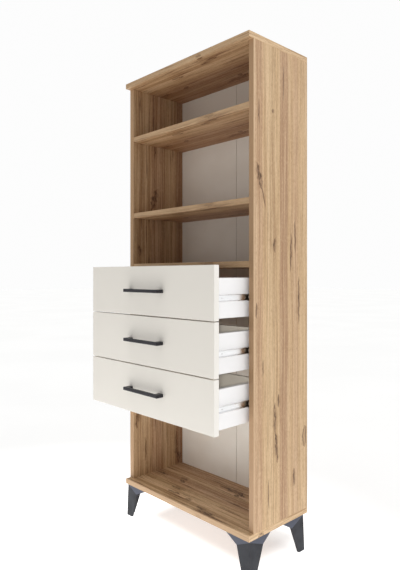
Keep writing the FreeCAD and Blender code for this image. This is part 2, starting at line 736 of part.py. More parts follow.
def runner_frame(number):
    """Frame of a left runner: inner face of the side panel, front end, middle height."""
    height = f"{drawer_low(number)} + {SLIDE_MIDDLE}"
    return in_frame(CASE_FRAME, f"-{INNER_HALF}", "runner_setback", height)


def runner(name, number):
    """Case members of the two slides: a channel whose lips curl round the balls, and a stop tab."""
    label = f"{name}_left_runner"
    body = new_body(label, runner_frame(number))
    half = "(runner_height / 2)"
    inside = "(runner_height / 2 - slide_sheet)"
    lip_x = f"{BALL_LINE} + {RACE} * cos(lip_angle)"
    lip_z = f"({BALL_HEIGHT} + {RACE} * sin(lip_angle))"
    rim_x = f"{BALL_LINE} + {RACE_OUTER} * cos(lip_angle)"
    rim_z = f"({BALL_HEIGHT} + {RACE_OUTER} * sin(lip_angle))"
    sketch = new_sketch(body, "XZ")
    outline(sketch, (
        ("0", f"-{half}"),
        (BALL_LINE, f"-{half}", RACE_OUTER, 1),
        (rim_x, f"-{rim_z}"),
        (lip_x, f"-{lip_z}", RACE, -1),
        (BALL_LINE, f"-{inside}"),
        ("slide_sheet", f"-{inside}"),
        ("slide_sheet", inside),
        (BALL_LINE, inside, RACE, -1),
        (lip_x, lip_z),
        (rim_x, rim_z, RACE_OUTER, 1),
        (BALL_LINE, half),
        ("0", half),
    ))
    pad(body, sketch, "slide_length", True)
    holes = new_sketch(body, "YZ")
    rounds(holes, slide_screw_places(), "slide_screw_shank + slide_hole_play", HOLE_SIDES)
    pocket(body, holes, "slide_sheet", True)
    stop = new_sketch(body, "XZ")
    rectangle(stop, "0", "-stop_height / 2", f"{CAGE_WEB} + cage_sheet", "stop_height / 2")
    pad(body, stop, "slide_sheet", True)
    mirrored(node(body, label), f"{name}_right_runner")


def runner_screws():
    """Screws that hold the runners on the side panels."""
    screws = []
    for number in range(len(DRAWERS)):
        for y, z in slide_screw_places():
            height = f"{drawer_low(number)} + {SLIDE_MIDDLE} + {z}"
            for side in (-1, 1):
                x = f"{side} * ({INNER_HALF} - slide_sheet - slide_screw_head_height)"
                where = in_frame(CASE_FRAME, x, f"runner_setback + {y}", height)
                screws.append(screw("slide_screw", where, (side, 0, 0)))
    group("runner_screws", screws)


def ball_rows():
    """Balls of one row, from the front end of the cage."""
    return [f"cage_length / 2 + {step} * ball_spacing" for step in (-1, 0, 1)]


def ball_cage(name, number):
    """Cages of a drawer's two slides, with a window for each ball, and the balls in them."""
    height = f"{drawer_low(number)} + {SLIDE_MIDDLE}"
    frame = in_frame(CASE_FRAME, f"-{INNER_HALF}", CAGE_START, height)
    body = new_body(f"{name}_left_cage", frame)
    rim = f"({BALL_LINE} + ball_diameter / 2 + cage_rim)"
    outer = f"({BALL_HEIGHT} + cage_sheet / 2)"
    inner = f"({BALL_HEIGHT} - cage_sheet / 2)"
    sketch = new_sketch(body, "XZ")
    outline(sketch, (
        (CAGE_WEB, f"-{outer}"),
        (rim, f"-{outer}"),
        (rim, f"-{inner}"),
        (f"{CAGE_WEB} + cage_sheet", f"-{inner}"),
        (f"{CAGE_WEB} + cage_sheet", inner),
        (rim, inner),
        (rim, outer),
        (CAGE_WEB, outer),
    ))
    pad(body, sketch, "cage_length", True)
    windows = new_sketch(body, "XY", "runner_height / 2")
    half = "(ball_diameter / 2 + window_play)"
    for y in ball_rows():
        rectangle(windows, f"{BALL_LINE} - {half}", f"{y} - {half}", f"{BALL_LINE} + {half}", f"{y} + {half}")
    pocket(body, windows, "runner_height")
    group(f"{name}_ball_cages", [body, reflected(body, f"{name}_right_cage")])
    balls = []
    for side in (-1, 1):
        x = f"{side} * ({INNER_HALF} - {BALL_LINE})"
        for y in ball_rows():
            for level in (-1, 1):
                z = f"{height} + {level} * {BALL_HEIGHT}"
                balls.append(ball(in_frame(CASE_FRAME, x, f"{CAGE_START} + {y}", z)))
    group(f"{name}_bearing_balls", balls)


def ball(where):
    """A ball with few facets: a cube with its edges cut back until every corner lies on the sphere."""
    cut_share = 1 - math.tan(math.pi / 8)
    corner = math.sqrt(1 + 2 * math.tan(math.pi / 8) ** 2)
    cube = doc.addObject("Part::Box", "Cube")
    for side in ("Length", "Width", "Height"):
        cube.setExpression(side, sized(f"ball_diameter / {corner}"))
    place(cube, *(f"{text} - ball_diameter / {2 * corner}" for text in where))
    doc.recompute()
    cut = value("ball_diameter") / (2 * corner) * cut_share
    facets = doc.addObject("Part::Chamfer", "Ball")
    facets.Base = cube
    facets.Edges = [(number, cut, cut) for number in range(1, len(cube.Shape.Edges) + 1)]
    return facets


def drawer_fasteners(name, frame):
    """Rail and handle screws, and the hidden bolts that join the box to its front and its back."""
    pieces = []
    levels = ("box_lift + box_bolt_inset", "box_lift + box_height - box_bolt_inset")
    for side in (-1, 1):
        for y, z in slide_screw_places():
            x = f"{side} * ({BOX_HALF} + slide_sheet + slide_screw_head_height)"
            where = in_frame(frame, x, f"rail_setback + {y}", f"{SLIDE_MIDDLE} + {z}")
            pieces.append(screw("slide_screw", where, (-side, 0, 0)))
        where = in_frame(frame, f"{side} * handle_pitch / 2", "handle_screw_head_height", "front_height / 2")
        pieces.append(screw("handle_screw", where, (0, -1, 0)))
        for level in levels:
            x = f"{side} * ({BOX_HALF} - box_board / 2)"
            where = in_frame(frame, x, "-box_bolt_bite", level)
            pieces.append(bolt("box_bolt_diameter", "box_bolt_length", where, (0, 1, 0)))
            x = f"{side} * ({BOX_HALF} - box_bolt_cover)"
            where = in_frame(frame, x, "box_depth - box_board / 2", level)
            pieces.append(bolt("box_bolt_diameter", "box_bolt_length", where, (-side, 0, 0)))
    group(f"{name}_drawer_fasteners", pieces)


def check_pieces():
    """Stop if anything failed to build."""
    for piece in doc.Objects:
        if "Invalid" in piece.State or "Error" in piece.State:
            raise RuntimeError(f"{piece.Label} failed: {piece.State}")
    for piece in nodes:
        if piece.Shape.isNull() or not piece.Shape.isValid() or not piece.Shape.Solids:
            raise RuntimeError(f"{piece.Label} has no sound shape")


end_panel("top_panel", "body_height - board", "body_height - board", "body_height", -1)
end_panel("bottom_panel", "0", "board - groove_depth", "0", 1)
side_panels()
for shelf_name in SHELVES:
    shelf(shelf_name)
shelf_fittings()
back_boards()
case_screws()
legs()
for position, drawer_name in enumerate(DRAWERS):
    runner(drawer_name, position)
    box_frame = drawer_frame(position)
    drawer_front(drawer_name, box_frame)
    drawer_box(drawer_name, box_frame)
    handle(drawer_name, box_frame)
    rail(drawer_name, box_frame)
    drawer_fasteners(drawer_name, box_frame)
    ball_cage(drawer_name, position)
runner_screws()
doc.recompute()
check_pieces()

os.makedirs("parts", exist_ok=True)
for finished in nodes:
    finished.Shape.exportStep(f"parts/{finished.Label}.step")
print(len(nodes), "nodes")
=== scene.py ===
# Looks of the tall bookcase: wood decor, cream drawer fronts, white boxes, steel slides, dark fittings.
import math

import bpy
from mathutils import Matrix, Vector


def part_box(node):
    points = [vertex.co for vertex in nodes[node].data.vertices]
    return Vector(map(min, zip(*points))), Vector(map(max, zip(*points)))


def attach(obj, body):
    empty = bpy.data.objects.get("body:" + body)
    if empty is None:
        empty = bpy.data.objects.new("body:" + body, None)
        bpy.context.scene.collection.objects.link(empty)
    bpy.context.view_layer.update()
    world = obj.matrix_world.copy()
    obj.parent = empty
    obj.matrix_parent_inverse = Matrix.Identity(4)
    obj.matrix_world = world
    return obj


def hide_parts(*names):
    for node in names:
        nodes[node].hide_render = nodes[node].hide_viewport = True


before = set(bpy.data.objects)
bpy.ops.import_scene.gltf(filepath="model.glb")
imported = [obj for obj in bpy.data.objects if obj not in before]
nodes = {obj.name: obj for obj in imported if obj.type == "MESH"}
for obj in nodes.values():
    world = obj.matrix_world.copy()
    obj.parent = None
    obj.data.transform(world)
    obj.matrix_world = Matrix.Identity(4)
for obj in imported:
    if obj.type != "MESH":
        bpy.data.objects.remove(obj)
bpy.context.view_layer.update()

# Camera, in metres and in pixels of the picture's frame.
IMAGE_HEIGHT = 570
EYE = (1.30327, -1.20107, 0.87896)
EYE_TURN = math.radians(46.57)
FOCAL_PIXELS = 530.64
HORIZON_ROW = 275.2
SENSOR = 36.0

# Floor and sky: the floor glows most in a patch before the niche, and the sky is brighter to the rear.
WHITE = (1.0, 1.0, 1.0, 1.0)
FLOOR_SIZE = 60.0
FLOOR_GLOW = 0.42
FLOOR_PATCH_GLOW = 1.9
FLOOR_PATCH_PLACE = (-0.15, -0.45, 0.0)
FLOOR_PATCH_REACH = (1.3, 0.1)
UNDER_CASE_DIMMING = 0.60
UNDER_CASE_EDGE = 0.10
SKY_FRONT = 0.45
SKY_REAR = 0.98
SKY_TURN = (-0.35, 0.45)
LIGHT_BOUNCES = 14

# Lamps: place, size, power and aim. The lamp for the insides of the boxes stands where the box lamp does.
SOFTBOX_PLACE = (3.2, 0.40, 1.9)
SOFTBOX_SIZE = 1.3
SOFTBOX_POWER = 13.0
SOFTBOX_AIM = (0.2, 0.0, 1.2)
BOX_LAMP_PLACE = (1.33, -1.23, 0.88)
BOX_LAMP_SIZE = 0.12
BOX_LAMP_POWER = 9.0
BOX_LAMP_AIM = (0.2, -0.1, 0.65)
INSIDE_LAMP_POWER = 17.0
INSIDE_LAMP_COLOUR = (1.0, 0.91, 0.75)
NICHE_LAMP_PLACE = (-0.20, -1.10, 0.32)
NICHE_LAMP_SIZE = 0.30
NICHE_LAMP_POWER = 1.1
NICHE_LAMP_AIM = (-0.15, 0.20, 0.28)
OVERHEAD_PLACE = (0.0, 0.0, 3.0)
OVERHEAD_LIGHT = 0.9
OVERHEAD_ANGLE = math.radians(60)

# Width of the painted highlight line behind the boards' front edges, and of its soft end.
EDGE_HIGHLIGHT_WIDTH = 0.003
EDGE_HIGHLIGHT_BLEND = 0.0004

# How deep a face's own print reaches: fully to the skin, and fading out to the skin's end.
SKIN = 0.0003
FRONT_SKIN = 0.0002
SKIN_END = 0.0008
DRAWER_EDGE_SKIN = 0.0004
DRAWER_EDGE_SKIN_END = 0.0009

# Where the painted reflection on a rail begins behind its front end, how far it takes to deepen, and how
# dense it is.
REFLECTION_START = 0.107
REFLECTION_FADE = 0.024
REFLECTION_DEPTH = 0.80

# A place across the left side and the place that it mirrors on the right side add up to this.
MIRROR_SUM = 0.048

# Turned fasteners: length over all, head diameter, head height and shank diameter. A bolt has no head.
FASTENERS = {
    "case screw": (0.050, 0.0100, 0.0020, 0.0060),
    "leg screw": (0.018, 0.0080, 0.0020, 0.0040),
    "slide screw": (0.011, 0.0065, 0.0010, 0.0035),
    "handle screw": (0.030, 0.0080, 0.0020, 0.0040),
    "box bolt": (0.034, 0.0050, 0.0000, 0.0050),
}
TURNED_SIDES = 16

# Shares of a screw's head: flat top, rounded rim, and cross recess, whose floor is a share of its mouth.
HEAD_TOP = 0.80
HEAD_ROUNDING = 0.45
RECESS_SPAN = 0.62
RECESS_WIDTH = 0.16
RECESS_DEPTH = 0.65
RECESS_FLOOR = 0.6

# Shares of a shank: pitch and depth of the thread, length and point of the tip, and the ends of a bolt.
THREAD_PITCH = 0.5
THREAD_DEPTH = 0.12
SCREW_TIP = 1.0
TIP_POINT = 0.3
BOLT_TIP = 0.2
BOLT_END = 0.85
BOLT_BEVEL = 0.1

# Cams: the slot is given by its span, width and depth.
CAM_RADIUS = 0.0075
CAM_HEIGHT = 0.0125
CAM_BEVEL = 0.0006
CAM_SLOT = (0.0095, 0.0020, 0.0030)

# Modelling: size of the plane that becomes an outline's first point, and distances at which points merge.
START_SIZE = 0.001
MERGE = 0.00001
FINE_MERGE = 0.000002

# Angles below which faces are joined, or shaded as one round face.
FLAT_ANGLE = math.radians(1)
ROUND_ANGLE = math.radians(35)

# A face looks down below this level of its normal, and a screw's rim lies beyond this share of its reach.
FACING_DOWN = -0.5
RIM_SHARE = 0.9
UP = Vector((0.0, 0.0, 1.0))
DOWN = Vector((0.0, 0.0, -1.0))

DRAWERS = ("upper", "middle", "lower")
SIDES = ("left", "right")
BOARDS = ("top_panel", "bottom_panel", "upper_shelf", "middle_shelf", "drawer_shelf")
BACKS = ("back_board_left", "back_board_right")


def tone(red, green, blue):
    """The linear colour of a screen colour that is given from 0 to 255."""
    channels = []
    for channel in (red, green, blue):
        share = channel / 255
        if share <= 0.04045:
            channels.append(share / 12.92)
        else:
            channels.append(((share + 0.055) / 1.055) ** 2.4)
    return (*channels, 1.0)


# Colours of the decor and the fittings.
HONEY = tone(209, 176, 134)
PALE_HONEY = tone(215, 185, 145)
PINK_TAN = tone(195, 159, 125)
PINK_BROWN = tone(184, 148, 116)
BAND_BROWN = tone(160, 123, 93)
STREAK_BROWN = tone(144, 105, 68)
STREAK_PALE = tone(226, 197, 161)
# Browns of the painted shade on the inner faces of the sides and on the undersides.
INNER_SHADE_BROWN = tone(120, 76, 46)
UNDERSIDE_SHADE_BROWN = tone(156, 90, 36)
DASH_BROWN = tone(102, 69, 47)
EDGE_BROWN = tone(152, 114, 78)
PORE_BROWN = tone(132, 97, 70)
KNOT_BROWN = tone(146, 110, 78)
KNOT_DARK = tone(66, 41, 23)
CREAM = tone(232, 227, 218)
CREAM_WARM = tone(230, 225, 216)
# Painted highlight on the end faces of the drawer fronts.
CREAM_END_HIGHLIGHT = tone(239, 235, 228)
BOX_WHITE = tone(225, 224, 224)
BOX_SHADE = tone(222, 221, 221)
BACK_CREAM = tone(234, 228, 218)
BACK_CREAM_SHADE = tone(230, 223, 212)
# Painted shade on the back boards above the upper shelf.
BACK_CREAM_PAINTED_SHADE = tone(219, 210, 198)
HARDBOARD = tone(140, 100, 66)
HARDBOARD_DARK = tone(112, 78, 50)
TAPE_PAPER = tone(226, 221, 208)
TAPE_SHADE = tone(211, 204, 189)
LEG_GREY = tone(48, 50, 56)
LEG_DARK = tone(42, 43, 48)
# Painted highlight on the legs' flare.
LEG_FLARE_HIGHLIGHT = tone(84, 88, 101)
HANDLE_GREY = tone(38, 36, 43)
HANDLE_DARK = tone(33, 32, 37)
ZINC = tone(252, 252, 253)
ZINC_DULL = tone(240, 241, 242)
# Painted brown reflection at the rear of the rails.
RAIL_REFLECTION_BROWN = tone(166, 143, 116)
SCREW_BRIGHT = tone(214, 214, 212)
SCREW_DULL = tone(182, 182, 181)
CAST_ZINC = tone(170, 171, 173)
CAST_ZINC_DULL = tone(146, 147, 150)
BALL_STEEL = tone(222, 224, 227)
BALL_DULL = tone(206, 208, 212)
FLOOR_PALE = tone(201, 201, 200)
FLOOR_SHADE = tone(198, 198, 197)

# Bands of the sides' figure: place across the board in metres, and colour.
SIDE_BANDS = (
    (-0.160, BAND_BROWN),
    (-0.128, BAND_BROWN),
    (-0.112, HONEY),
    (-0.070, PALE_HONEY),
    (-0.045, PINK_TAN),
    (-0.004, PINK_TAN),
    (0.008, HONEY),
    (0.040, PALE_HONEY),
    (0.078, HONEY),
    (0.086, PINK_BROWN),
    (0.118, PINK_BROWN),
    (0.128, HONEY),
    (0.165, PINK_TAN),
    (0.182, HONEY),
    (0.223, PALE_HONEY),
)

# Bands of the shelves' figure.
BOARD_BANDS = (
    (-0.060, PALE_HONEY),
    (0.000, HONEY),
    (0.045, HONEY),
    (0.068, PINK_TAN),
    (0.085, BAND_BROWN),
    (0.116, BAND_BROWN),
    (0.128, PALE_HONEY),
    (0.145, PINK_TAN),
    (0.170, PINK_BROWN),
    (0.223, PINK_BROWN),
)

# Runs of the figure: how fine they are across and along the board, their detail and their roughness.
SWAY_RUN = (6.0, 2.6, 1.0, 0.5)
STROKE_RUN = (360.0, 50.0, 3.0, 0.65)
FIGURE_RUNS = {
    "Broad Streak": (70.0, 0.6, 2.0, 0.5),
    "Middle Streak": (160.0, 2.4, 3.0, 0.6),
    "Fine Streak": (380.0, 4.5, 3.0, 0.65),
    "Fibre": (1000.0, 25.0, 2.0, 0.5),
    "Fleck": (330.0, 95.0, 2.0, 0.6),
    "Pore": (720.0, 24.0, 1.0, 0.5),
    "Dash": (150.0, 5.0, 4.0, 0.68),
}
STREAKS = ("Broad Streak", "Middle Streak", "Fine Streak")

# How far the grain sways across the board, in metres, from the middle of the noise.
SWAY = 0.012
NOISE_MIDDLE = 0.5

# Levels of a run at which a mark of the figure begins and is full.
FIGURE_CUTS = {"Pore": (0.60, 0.72), "Dash": (0.56, 0.66)}
DARK_STREAK = (0.50, 0.66)
PALE_STREAK = (0.48, 0.34)
DARK_FIBRE = (0.45, 0.75)
DARK_FLECK = (0.50, 0.72)
PALE_FLECK = (0.48, 0.30)

# How strong those marks and the cracks are. The pores' relief is a share of the fibres' relief.
PALE_STREAK_DEPTH = 0.40
DARK_FIBRE_DEPTH = 0.26
DARK_FLECK_DEPTH = 0.27
PALE_FLECK_DEPTH = 0.26
PORE_DEPTH = 0.30
PORE_RELIEF = 0.8
HALO_DEPTH = 0.40
CRACK_DEPTH = 0.92

# Where in the noise each kind of board begins its figure.
SIDE_SEED = 3.1
BOARD_SEED = 7.4

# How dark the streaks and the dashes are, how strong the painted highlight line behind the front edge is,
# and how dark the edge's face.
SIDE_STRENGTHS = {"left": (0.62, 0.75, 0.75, 0.72), "right": (0.36, 0.20, 0.75, 0.72)}
BOARD_STRENGTHS = (0.62, 0.90, 0.30, 0.38)
BOTTOM_STRENGTHS = (0.66, 1.00, 0.60, 0.50)

# Painted shade on the faces that look into the bays: how deep it is, and the brown it is painted in.
SIDE_INNER_PAINTED_SHADE = (0.22, INNER_SHADE_BROWN)
UNDERSIDE_PAINTED_SHADE = (0.31, UNDERSIDE_SHADE_BROWN)

# How that painted shade deepens from the front to the rear of an underside.
UNDERSIDE_SHADE_SHARES = (0.6, 1.2)

# Cracks: how fast they ripple along the grain, how far for their width, and how they break into strokes.
RIPPLE_ALONG = 45.0
RIPPLE_SWING = 3.0
STROKE_CUT = (0.42, 0.58)
STROKE_SHARES = (0.08, 1.0)
LEAST_HALF_WIDTH = 0.00001

# Edges of a crack, and of a ring with its pale heart, in half widths from the middle.
SPINDLE_EDGE = (1.6, 0.5)
RING_EDGE = (1.5, 1.1)
RING_HEART = (0.95, 0.55)

# A narrow crack is more nearly whole than a wide one, which breaks into strokes. A ring has its own share.
WHOLE_HALF_WIDTHS = (0.0030, 0.0060)
WHOLE_SHARES = (0.60, 0.0)
WHOLE_RING = 0.7

# The halo about a crack: the half width that it grows with at most, and its reach in half widths.
HALO_HALF_WIDTH = 0.0045
HALO_REACH = 4.5

# How many times wider the cracks are on each side panel than the widths below.
SIDE_MARK_WIDTHS = {"left": 1.5, "right": 1.0}

# Cracks and knots, by these measures. The ring is 1 for a knot with a pale heart.
MARK_MEASURES = ("Place Across", "Place Along", "Half Length", "Half Width", "Lean", "Ring")
SIDE_MARKS = (
    (-0.015, 1.355, 0.042, 0.0018, 0.00, 0.0),
    (-0.012, 1.166, 0.042, 0.0085, -0.28, 0.0),
    (0.0055, 1.111, 0.034, 0.0022, -0.30, 0.0),
    (0.049, 1.370, 0.007, 0.0033, 0.00, 0.0),
    (0.057, 0.969, 0.024, 0.0048, 0.00, 0.0),
    (0.138, 0.950, 0.062, 0.0029, 0.03, 0.0),
    (0.159, 1.001, 0.056, 0.0025, -0.02, 0.0),
    (0.178, 0.799, 0.078, 0.0036, 0.00, 0.0),
    (-0.026, 0.776, 0.024, 0.0025, 0.00, 0.0),
    (0.003, 0.607, 0.026, 0.0016, 0.00, 0.0),
    (0.0755, 0.499, 0.021, 0.0029, 0.00, 0.0),
    (0.058, 0.450, 0.046, 0.0050, 0.00, 0.0),
    (0.065, 0.363, 0.052, 0.0058, -0.12, 0.0),
    (0.208, 0.365, 0.036, 0.0075, 0.00, 1.0),
    (0.153, 0.248, 0.030, 0.0036, 0.00, 0.0),
    (0.0285, 0.228, 0.045, 0.0015, 0.00, 0.0),
    (0.100, 1.465, 0.060, 0.0015, 0.02, 0.0),
    (-0.1235, 0.232, 0.034, 0.0040, 0.00, 0.0),
    (-0.1320, 0.168, 0.034, 0.0070, 0.10, 0.0),
)
BOARD_MARKS = (
    (0.007, -0.084, 0.030, 0.0056, 0.00, 0.0),
    (0.092, -0.136, 0.016, 0.0078, 0.00, 0.0),
    (0.160, 0.055, 0.062, 0.0090, -0.16, 0.0),
    (-0.022, 0.100, 0.052, 0.0080, -0.15, 0.0),
    (0.138, 0.086, 0.012, 0.0080, 0.00, 0.0),
    (0.0925, -0.250, 0.036, 0.0060, 0.03, 0.0),
    (-0.052, 0.087, 0.014, 0.0046, 0.00, 0.0),
)

# The bottom panel has more knots, next to those that every board has.
BOTTOM_MARKS = BOARD_MARKS + (
    (0.110, -0.147, 0.020, 0.0075, 0.00, 0.0),
    (0.040, -0.100, 0.034, 0.0050, 0.00, 0.0),
    (0.002, -0.006, 0.015, 0.0062, 0.00, 0.0),
    (-0.030, 0.105, 0.036, 0.0062, 0.00, 0.0),
    (0.159, 0.070, 0.030, 0.0095, 0.00, 0.0),
    (0.161, 0.004, 0.020, 0.0042, 0.00, 0.0),
)

# Surfaces: levels of a noise that change the colour and the roughness, and the height of the relief.
COLOUR_LEVELS = (0.35, 0.65)
ROUGHNESS_LEVELS = (0.3, 0.7)
ROUGHNESS_CHANGE = 0.05
RELIEF = 0.0002

# Back boards: the lacquer ends within the thickness, and above a soft line at the upper shelf a painted
# shade darkens it.
LACQUER_SHARES = (0.3, 0.5)
BACK_SHADE_BLEND = 0.10
BACK_RELIEF = 0.0003

# Slopes of a leg's faces between which its flare gets a painted highlight.
FLARE_HIGHLIGHT_FROM = (0.045, 0.075)
FLARE_HIGHLIGHT_TO = (0.5, 0.3)

# Rolling lines on the slides: how fine they are in each direction, where they are dull, and their relief.
ROLLING_SCALE = (420.0, 7.0, 420.0)
ROLLING_DULL = (0.35, 0.7)
ROLLING_RELIEF = 0.0001

# Colour sockets of a Mix node, whose names repeat for each kind of data.
MIX_SHARE = 0
MIX_FIRST = 6
MIX_SECOND = 7
MIX_RESULT = 2


def feed(tree, socket, value):
    """Links a socket to the socket that feeds it, or sets it to a plain value."""
    if isinstance(value, bpy.types.NodeSocket):
        tree.links.new(value, socket)
    else:
        socket.default_value = value


def put(tree, kind, given=None, **settings):
    """A node of that kind, with its settings and with what is given to its sockets."""
    made = tree.nodes.new("ShaderNode" + kind)
    for name, setting in settings.items():
        setattr(made, name, setting)
    for place, value in (given or {}).items():
        feed(tree, made.inputs[place], value)
    return made


def calc(tree, operation, first, second=0.0):
    """The result of one sum."""
    return put(tree, "Math", {0: first, 1: second}, operation=operation).outputs[0]


def spread(tree, value, low, high, low_to=0.0, high_to=1.0):
    """A value that runs softly from one range to another."""
    given = {"Value": value, "From Min": low, "From Max": high, "To Min": low_to, "To Max": high_to}
    return put(tree, "MapRange", given, interpolation_type="SMOOTHSTEP").outputs[0]


def mixed(tree, share, first, second):
    """Two colours mixed by a share."""
    given = {MIX_SHARE: share, MIX_FIRST: first, MIX_SECOND: second}
    return put(tree, "Mix", given, data_type="RGBA").outputs[MIX_RESULT]


def tinted(tree, mask, depth, colour, tint):
    """A colour with a tint over it, as deep as a mask says."""
    return mixed(tree, calc(tree, "MULTIPLY", mask, depth), colour, tint)


def between(tree, share, first, second):
    """Two values mixed by a share."""
    return put(tree, "Mix", {"Factor": share, "A": first, "B": second}).outputs[0]


def noise(tree, vector, detail, roughness):
    """Cloudy values over a vector."""
    given = {"Vector": vector, "Scale": 1.0, "Detail": detail, "Roughness": roughness}
    return put(tree, "TexNoise", given).outputs[0]


def vector_of(tree, across, along, third):
    """Three values as one vector."""
    return put(tree, "CombineXYZ", {0: across, 1: along, 2: third}).outputs[0]


def grain_noise(tree, given, across, run):
    """Cloudy values that are fine across a board and long along it."""
    fine, long, detail, roughness = run
    fine_across = calc(tree, "MULTIPLY", across, fine)
    long_along = calc(tree, "MULTIPLY", given["Along"], long)
    return noise(tree, vector_of(tree, fine_across, long_along, given["Seed"]), detail, roughness)


def new_group(name, inputs, outputs, vectors=()):
    """An empty effect with vector inputs, number inputs and number outputs."""
    tree = bpy.data.node_groups.new(name, "ShaderNodeTree")
    for label in vectors:
        tree.interface.new_socket(label, in_out="INPUT", socket_type="NodeSocketVector")
    for label in inputs:
        tree.interface.new_socket(label, in_out="INPUT", socket_type="NodeSocketFloat")
    for label in outputs:
        tree.interface.new_socket(label, in_out="OUTPUT", socket_type="NodeSocketFloat")
    start = tree.nodes.new("NodeGroupInput")
    end = tree.nodes.new("NodeGroupOutput")
    return tree, start.outputs, end.inputs


def board_figure_group():
    """Growth streaks, fibres, flecks, pores and dashes that run along a board and sway across it."""
    tree, given, result = new_group("board figure", ("Across", "Along", "Seed"), ("Bent", *FIGURE_RUNS))
    sway = grain_noise(tree, given, given["Across"], SWAY_RUN)
    shift = calc(tree, "MULTIPLY", calc(tree, "SUBTRACT", sway, NOISE_MIDDLE), SWAY)
    bent = calc(tree, "ADD", given["Across"], shift)
    tree.links.new(bent, result["Bent"])
    for label, run in FIGURE_RUNS.items():
        cloud = grain_noise(tree, given, bent, run)
        if label in FIGURE_CUTS:
            cloud = spread(tree, cloud, *FIGURE_CUTS[label])
        tree.links.new(cloud, result[label])
    return tree


def crack_stroke_group():
    """What all cracks of a board share: how they ripple along the grain and break into strokes."""
    tree, given, result = new_group("crack strokes", ("Across", "Along", "Seed"), ("Ripple", "Strokes"))
    phase = calc(tree, "MULTIPLY", given["Along"], RIPPLE_ALONG)
    ripple = noise(tree, vector_of(tree, phase, given["Seed"], 0.0), detail=2.0, roughness=0.6)
    tree.links.new(calc(tree, "SUBTRACT", ripple, NOISE_MIDDLE), result["Ripple"])
    strokes = grain_noise(tree, given, given["Across"], STROKE_RUN)
    tree.links.new(spread(tree, strokes, *STROKE_CUT, *STROKE_SHARES), result["Strokes"])
    return tree


def crack_mark_group():
    """One spindle-shaped crack or knot along the grain, added to the marks before it."""
    tree, given, result = new_group(
        "crack mark",
        ("Across", "Along", "Ripple", "Strokes", "Core Before", "Halo Before", *MARK_MEASURES),
        ("Core", "Halo"),
    )
    reach = calc(tree, "SUBTRACT", given["Along"], given["Place Along"])
    part = calc(tree, "DIVIDE", reach, given["Half Length"])
    taper = calc(tree, "MAXIMUM", calc(tree, "SUBTRACT", 1.0, calc(tree, "MULTIPLY", part, part)), 0.0)
    lean = calc(tree, "MULTIPLY", given["Lean"], reach)
    rippled_width = calc(tree, "MULTIPLY", given["Ripple"], given["Half Width"])
    swing = calc(tree, "MULTIPLY", rippled_width, RIPPLE_SWING)
    middle = calc(tree, "ADD", calc(tree, "ADD", given["Place Across"], lean), swing)
    aside = calc(tree, "ABSOLUTE", calc(tree, "SUBTRACT", given["Across"], middle))
    half = calc(tree, "ADD", calc(tree, "MULTIPLY", given["Half Width"], taper), LEAST_HALF_WIDTH)
    share = calc(tree, "DIVIDE", aside, half)
    spindle = spread(tree, share, *SPINDLE_EDGE)
    ring = calc(tree, "SUBTRACT", spread(tree, share, *RING_EDGE), spread(tree, share, *RING_HEART))
    shape = between(tree, given["Ring"], spindle, ring)
    narrow = spread(tree, given["Half Width"], *WHOLE_HALF_WIDTHS, *WHOLE_SHARES)
    whole = calc(tree, "MAXIMUM", narrow, calc(tree, "MULTIPLY", given["Ring"], WHOLE_RING))
    scratched = calc(tree, "MULTIPLY", shape, calc(tree, "MAXIMUM", given["Strokes"], whole))
    core = calc(tree, "MAXIMUM", scratched, given["Core Before"])
    halo_share = calc(tree, "DIVIDE", aside, calc(tree, "MINIMUM", half, HALO_HALF_WIDTH))
    halo = calc(tree, "MAXIMUM", spread(tree, halo_share, HALO_REACH, 0.0), given["Halo Before"])
    tree.links.new(core, result["Core"])
    tree.links.new(halo, result["Halo"])
    return tree


def fine_skin_group():
    """The fine unevenness of a coated or moulded surface: broad clouding and a small grain."""
    tree, given, result = new_group(
        "fine skin", ("Cloud Scale", "Grain Scale"), ("Cloud", "Grain"), vectors=("Place",)
    )
    for label, detail in (("Cloud", 3.0), ("Grain", 2.0)):
        sockets = {"Vector": given["Place"], "Scale": given[label + " Scale"], "Detail": detail}
        tree.links.new(put(tree, "TexNoise", sockets).outputs[0], result[label])
    return tree


BOARD_FIGURE = board_figure_group()
CRACK_STROKES = crack_stroke_group()
CRACK_MARK = crack_mark_group()
FINE_SKIN = fine_skin_group()


def new_finish(name):
    """An empty material, its node tree, its shader and the object's own coordinates."""
    finish = bpy.data.materials.new(name)
    finish.use_nodes = True
    tree = finish.node_tree
    tree.nodes.clear()
    shader = put(tree, "BsdfPrincipled")
    put(tree, "OutputMaterial", {"Surface": shader.outputs[0]})
    place = put(tree, "TexCoord").outputs["Object"]
    return finish, tree, shader, place


def axes_of(tree, vector):
    """The parts of a vector along the axes."""
    return put(tree, "SeparateXYZ", {0: vector}).outputs


def group_in(tree, group, given):
    """A shared effect placed in a material."""
    made = put(tree, "Group", node_tree=group)
    for label, value in given.items():
        feed(tree, made.inputs[label], value)
    return made.outputs


def skin_in(tree, place, cloud, grain):
    """The fine skin of a coat, with the scales of its clouding and its grain."""
    return group_in(tree, FINE_SKIN, {"Place": place, "Cloud Scale": cloud, "Grain Scale": grain})


def clouded(tree, skin, main, second):
    """Two tones of a coat, mixed by its clouding."""
    return mixed(tree, spread(tree, skin["Cloud"], *COLOUR_LEVELS), main, second)


def cloud_roughness(tree, shader, skin, low, high):
    """A roughness that follows the clouding."""
    rough = spread(tree, skin["Cloud"], *ROUGHNESS_LEVELS, low, high)
    tree.links.new(rough, shader.inputs["Roughness"])


def raised(tree, shader, height, strength, distance):
    """Relief on the surface."""
    given = {"Height": height, "Strength": strength, "Distance": distance}
    relief = put(tree, "Bump", given)
    tree.links.new(relief.outputs[0], shader.inputs["Normal"])


